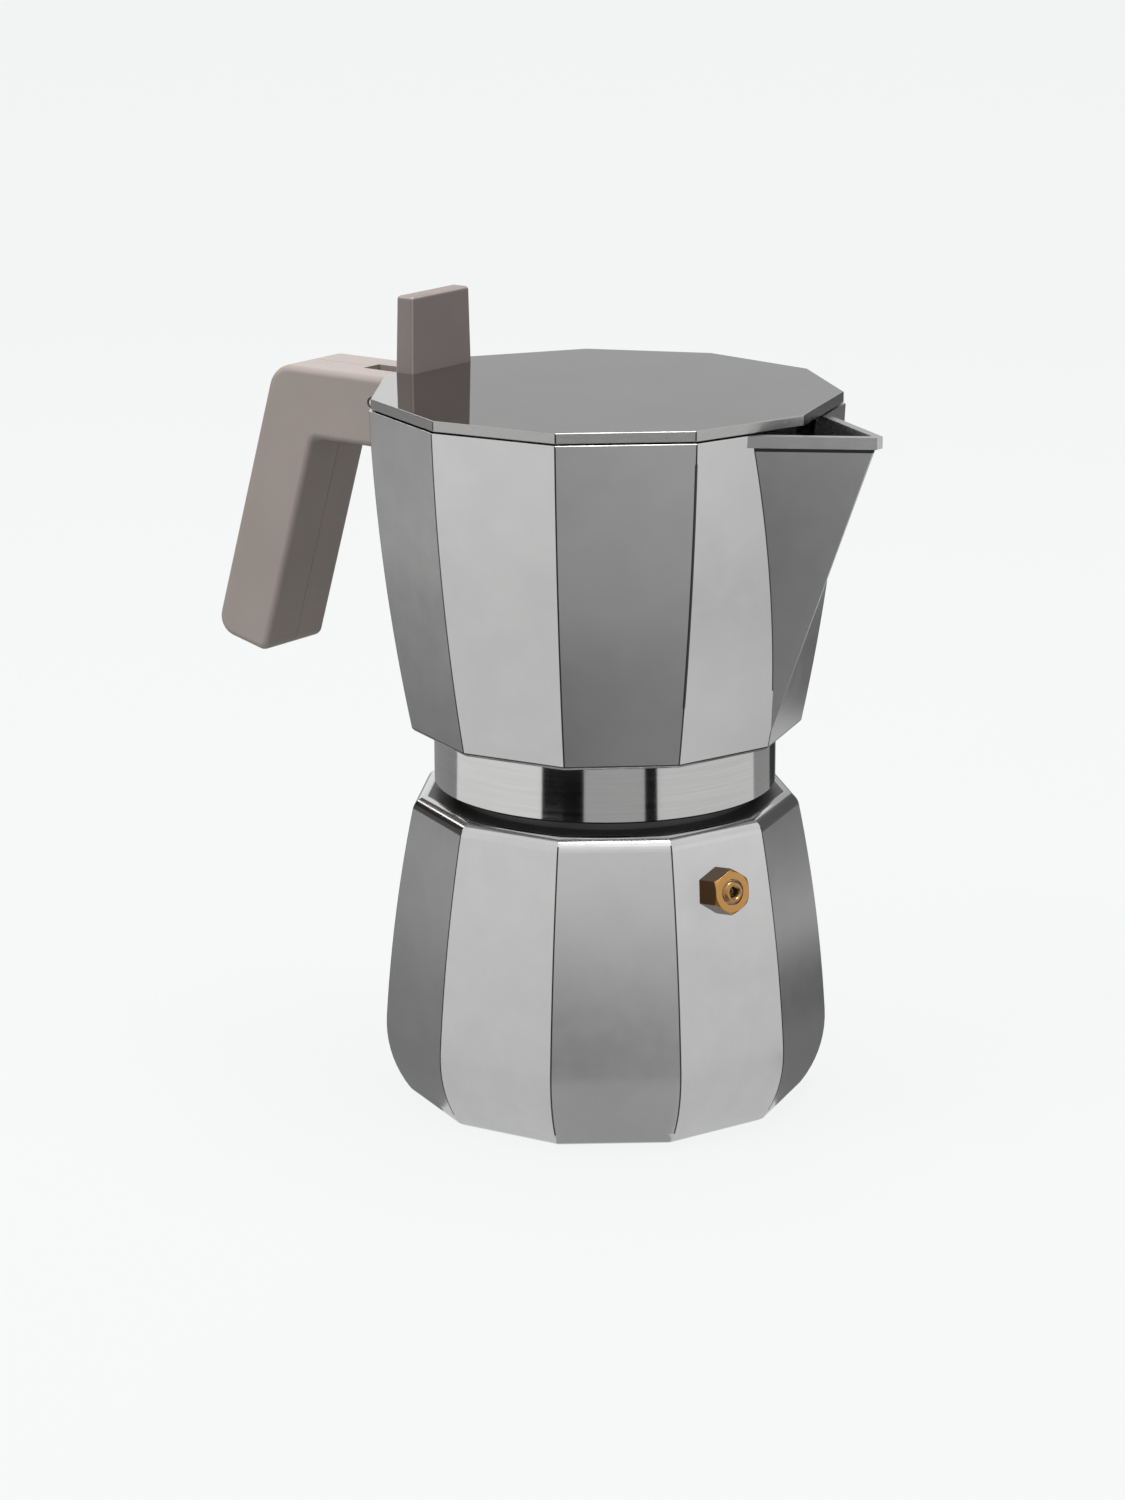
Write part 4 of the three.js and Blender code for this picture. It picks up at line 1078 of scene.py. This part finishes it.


# painted shade: the neck and its thread above the shoulder are painted dark for the shade in the gap under the
# ring
turnedFaces(boiler, lambda c, n: c.z > (boilerSizes.height - 0.02) * mm and n.z > -0.9
        and hypot(c.x, c.y) < boilerSizes.machinedRadius * mm, 2)
turnedFaces(collector, lambda c, n: c.z < (collectorSizes.ringTop + 0.05) * mm, 2)
turnedFaces(collector, lambda c, n: c.z > (collectorSizes.rim - 0.25) * mm, 0)
paint(knob, finishes["knob"], finishes["knobHighlight"])  # the middle of each rounded edge is painted lighter, a painted highlight
turnedFaces(knob, lambda c, n: sorted(abs(v) for v in n)[1] > knobSizes.worn, 1)
paint(lid, finishes["lidTop"], finishes["lidEdge"], finishes["edge"])
turnedFaces(lid, lambda c, n: abs(n.z) < 0.9 and hypot(c.x, c.y) > lidSizes.edgeFrom * mm
        and c.z > (lidSizes.low - 0.1) * mm, 1)
# painted shade: the lid's vertical corners take the near-black third finish, standing for shade and dark
# reflections
turnedFaces(lid, lambda c, n: abs(n.z) < 0.1 and c.z > lidSizes.low * mm
        and abs(hypot(c.x, c.y) / (lidSizes.radius * mm) - 1) < 0.005, 2)

valveAxis = valveMatrix(valveSizes).to_3x3() @ Vector((0, 0, 1))
paint(valveBody, finishes["brass"], finishes["brassSide"])
turnedFaces(valveBody, lambda c, n: abs(n.dot(valveAxis)) < 0.3, 1)

plainFinishes = {
    "screw_steel": "steel", "spring_steel": "steel", "sheet_aluminium": "sheet", "handle_plastic": "handle",
    "valve_nozzle_metal": "nozzle", "gasket_rubber": "rubber",
}
smoothAngles = {"boiler": 12, "collector": 12, "lid": 12, "valve_ball": 180, "valve_spring": 60}
pieces = [  # body, slot, and the node that each one replaces
    (boiler, "boiler", "cast_aluminium", "boiler"),
    (collector, "upper", "collector_aluminium", "collector"),
    (lid, "lid", "lid_aluminium", "lid"),
    (knob, "lid", "knob_plastic", "knob"),
    (knobScrews[0], "lid", "screw_steel", "knob_screw_1"),
    (knobScrews[1], "lid", "screw_steel", "knob_screw_2"),
    (handleRight, "upper", "handle_plastic", "handle_shell_right"),
    (handleLeft, "upper", "handle_plastic", "handle_shell_left"),
    (handleScrew, "upper", "screw_steel", "handle_screw"),
    (hingePin, "upper", "screw_steel", "hinge_pin"),
    (valveBody, "boiler", "valve_brass", "valve_body"),
    (nozzle, "boiler", "valve_nozzle_metal", "valve_nozzle"),
    (ball, "ball", "spring_steel", "valve_ball"),
    (spring, "boiler", "spring_steel", "valve_spring"),
    (funnelCup, "funnel", "sheet_aluminium", "funnel_cup"),
    (funnelTube, "funnel", "sheet_aluminium", "funnel_tube"),
    (funnelPlate, "funnel", "sheet_aluminium", "funnel_plate"),
    (gasket, "gasket", "gasket_rubber", "gasket"),
    (filterPlate, "filter", "sheet_aluminium", "filter_plate"),
    (column, "upper", "sheet_aluminium", "column"),
]
for piece in (valveBody, nozzle):
    piece.visible_glossy = False  # satin metal that near shows no image of it
for piece, body, slotName, node in pieces:
    if slotName in plainFinishes:
        paint(piece, finishes[plainFinishes[slotName]])
    smooth(piece, smoothAngles.get(node, 30))
    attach(piece, body)
    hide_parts(node)
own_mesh(spring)
print("pieces finished", len(pieces), "faces", sum(len(p[0].data.polygons) for p in pieces))


# Camera, floor, soft light

cameraSizes = Sizes(
    target=(-0.00819, -0.00608, 0.084), azimuth=36.609, elevation=15.294, distance=1.00267,
    lens=100.06, roll=-0.101,
)
studio = Sizes(
    pale=(0.93, 0.947, 0.94), roomTone=0.42, floorRadius=8, lampTarget=(0, 0, 0.1),
    keyPlace=(-0.5, -0.9, 1.1), keySize=0.7, keyPower=9,
    topPlace=(0, 0.1, 1.4), topSize=0.8, topPower=20,
    floorTone=0.45, floorRoughness=0.9, floorGlow=0.9, glowStrength=1.03, farStrength=0.975,
    # grey stretches that only show in the metal: azimuth where each one starts, and its tone
    floorPanels=[  # inner and outer radius
        (0.03, 0.11, ((-180, 0.25), (-112, 0.74), (-68, 0.44), (-35, 0.74), (10, 0.2), (70, 0.35))),
        (0.11, 0.2, ((-180, 0.25), (-128, 0.8), (-80, 0.18), (-47.5, 0.29), (-16, 0.8), (26, 0.12),
                (110, 0.3))),
        (0.2, 0.28, ((-180, 0.25), (-128, 0.8), (-80, 0.16), (-47.5, 0.29), (-16, 0.8), (26, 0.6),
                (110, 0.3))),
        (0.28, 0.42, ((-180, 0.27), (-166, 0.8), (-94, 0), (-67, 0.42), (-29, 0), (-21, 0.66), (59, 0.3),
                (86, 0.04), (106, 0.28))),
        (0.42, 0.62, ((-180, 0.42), (-166, 0.9), (-94, 0.4), (-67, 0.15), (-49, 0.48), (-17, 0.82), (59, 0.25),
                (128, 0.42))),
        (0.62, 0.85, ((-180, 0.4), (-166, 0.9), (-94, 0.4), (-71, 0.1), (-50, 0.44), (-17, 0.85), (59, 0.15),
                (128, 0.4))),
        (0.85, 1.3, ((-180, 0.4), (-166, 0.9), (-94, 0.5), (-71, 0.2), (-50, 0.55), (-17, 0.88), (59, 0.15),
                (128, 0.4))),
    ],
    wallRadius=1.3,
    wallPanels=[  # foot and top
        (0.0005, 0.66, ((-180, 0.09), (-160, 0.91), (-97, 0.4), (-74, 0.87), (-25, 0.4), (-17, 0.98), (52, 0.12),
                (100, 0.515), (130.5, 0.95), (151, 0.03))),
        (0.66, 1.3, ((-180, 0.04), (-155, 0.91), (-74, 1), (-25, 0.9), (40, 0.25), (100, 0.93), (152, 0.03),
                (168, 2.5), (175, 0.04))),
    ],
    ceiling=(0.5, 1.3, 1.3, 0),  # inner and outer radius, level, height of a wall
    ceilingPanels=((-180, 0.32), (-155, 0.95), (-74, 1.4), (-25, 0.95), (60, 0.32)),
)


def aim(place, target, roll=0):
    turn = (Vector(target) - Vector(place)).to_track_quat("-Z", "Y").to_matrix().to_4x4()
    return (turn @ Matrix.Rotation(radians(roll), 4, "Z")).to_euler()


def addCamera(s):
    az, el = radians(s.azimuth), radians(s.elevation)
    place = Vector(s.target) + s.distance * Vector((cos(el) * sin(az), -cos(el) * cos(az), sin(el)))
    clearSelection()
    bpy.ops.object.camera_add(location=place, rotation=aim(place, s.target, s.roll))
    camera = bpy.context.object
    camera.data.lens = s.lens
    camera.data.sensor_width = 36
    camera.data.clip_end = 20
    bpy.context.scene.camera = camera


def addLamp(name, place, target, size, power):
    clearSelection()
    bpy.ops.object.light_add(type="AREA", location=place, rotation=aim(place, target))
    lamp = bpy.context.object
    lamp.name = name
    lamp.data.size = size
    lamp.data.energy = power
    return lamp


def seenDirectly(tree):  # 1 for camera, glossy and transmission rays
    rays = addNode(tree, "LightPath", {}).outputs
    seen = rays["Is Camera Ray"]
    for kind in ("Is Glossy Ray", "Is Transmission Ray"):
        seen = addNode(tree, "Math", {0: seen, 1: rays[kind]}, operation="MAXIMUM").outputs[0]
    return seen


def showMixed(tree, share, first, second, output):
    mix = addNode(tree, "MixShader", {0: share, 1: first.outputs[0], 2: second.outputs[0]})
    tree.links.new(mix.outputs[0], tree.nodes[output].inputs["Surface"])


def addRoom(s):
    world = bpy.data.worlds.new("pale_room")
    bpy.context.scene.world = world
    world.use_nodes = True
    tree = world.node_tree
    plain = tree.nodes["Background"]
    setInputs(tree, plain, {"Color": (*lighter(s.pale, s.roomTone), 1)})
    shown = addNode(tree, "Background", {"Color": (*s.pale, 1), "Strength": s.farStrength})
    showMixed(tree, seenDirectly(tree), plain, shown, "World Output")


def addFloor(s):
    floor = circle("studio_floor", 64, s.floorRadius, (0, 0, 0))
    material, tree = newMaterial("pale_floor")
    shader = tree.nodes["Principled BSDF"]
    setInputs(tree, shader, {"Base Color": (*lighter(s.pale, s.floorTone), 1), "Roughness": s.floorRoughness})
    glow = addNode(tree, "Emission", {"Color": (*s.pale, 1), "Strength": s.glowStrength})
    share = addNode(tree, "Math", {0: seenDirectly(tree), 1: s.floorGlow}, operation="MULTIPLY")
    showMixed(tree, share.outputs[0], shader, glow, "Material Output")
    paint(floor, material)


def addPanels(name, near, far, low, tall, stretches):
    # a flat ring, or a wall where it has a height, in stretches of grey
    panels = circle(name, 360, near, (0, 0, low), fill="NOTHING")
    pickEdges(panels, everything)
    extrude(tall)
    stretch(far / near, far / near, 1)
    leaveEdit()
    ends = [start for start, tone in stretches[1:]] + [180]
    for i, ((start, tone), end) in enumerate(zip(stretches, ends)):
        panels.data.materials.append(glowing(f"{name}_{i + 1}", tone))
        turnedFaces(panels, lambda c, n: start < atan2(c.y, c.x) / pi * 180 < end, i)
    for kind in ("camera", "diffuse", "shadow", "transmission"):
        setattr(panels, "visible_" + kind, False)


def glowing(name, tone):
    material, tree = newMaterial(name)
    tree.nodes.remove(tree.nodes["Principled BSDF"])
    glow = addNode(tree, "Emission", {"Color": (tone, tone, tone, 1)})
    tree.links.new(glow.outputs[0], tree.nodes["Material Output"].inputs["Surface"])
    return material


addCamera(cameraSizes)
addRoom(studio)
addFloor(studio)
for i, (near, far, stretches) in enumerate(studio.floorPanels):
    addPanels(f"floor_panels_{i + 1}", near, far, 0.5 * mm, 0, stretches)
for i, (low, high, stretches) in enumerate(studio.wallPanels):
    addPanels(f"wall_panels_{i + 1}", studio.wallRadius, studio.wallRadius, low, high - low, stretches)
addPanels("ceiling_panels", *studio.ceiling, studio.ceilingPanels)
key = addLamp("key", studio.keyPlace, studio.lampTarget, studio.keySize, studio.keyPower)
key.visible_glossy = False  # the panels stand for it in the metal
addLamp("top", studio.topPlace, studio.lampTarget, studio.topSize, studio.topPower)
bpy.context.scene.view_settings.view_transform = "Standard"
print("studio ready")
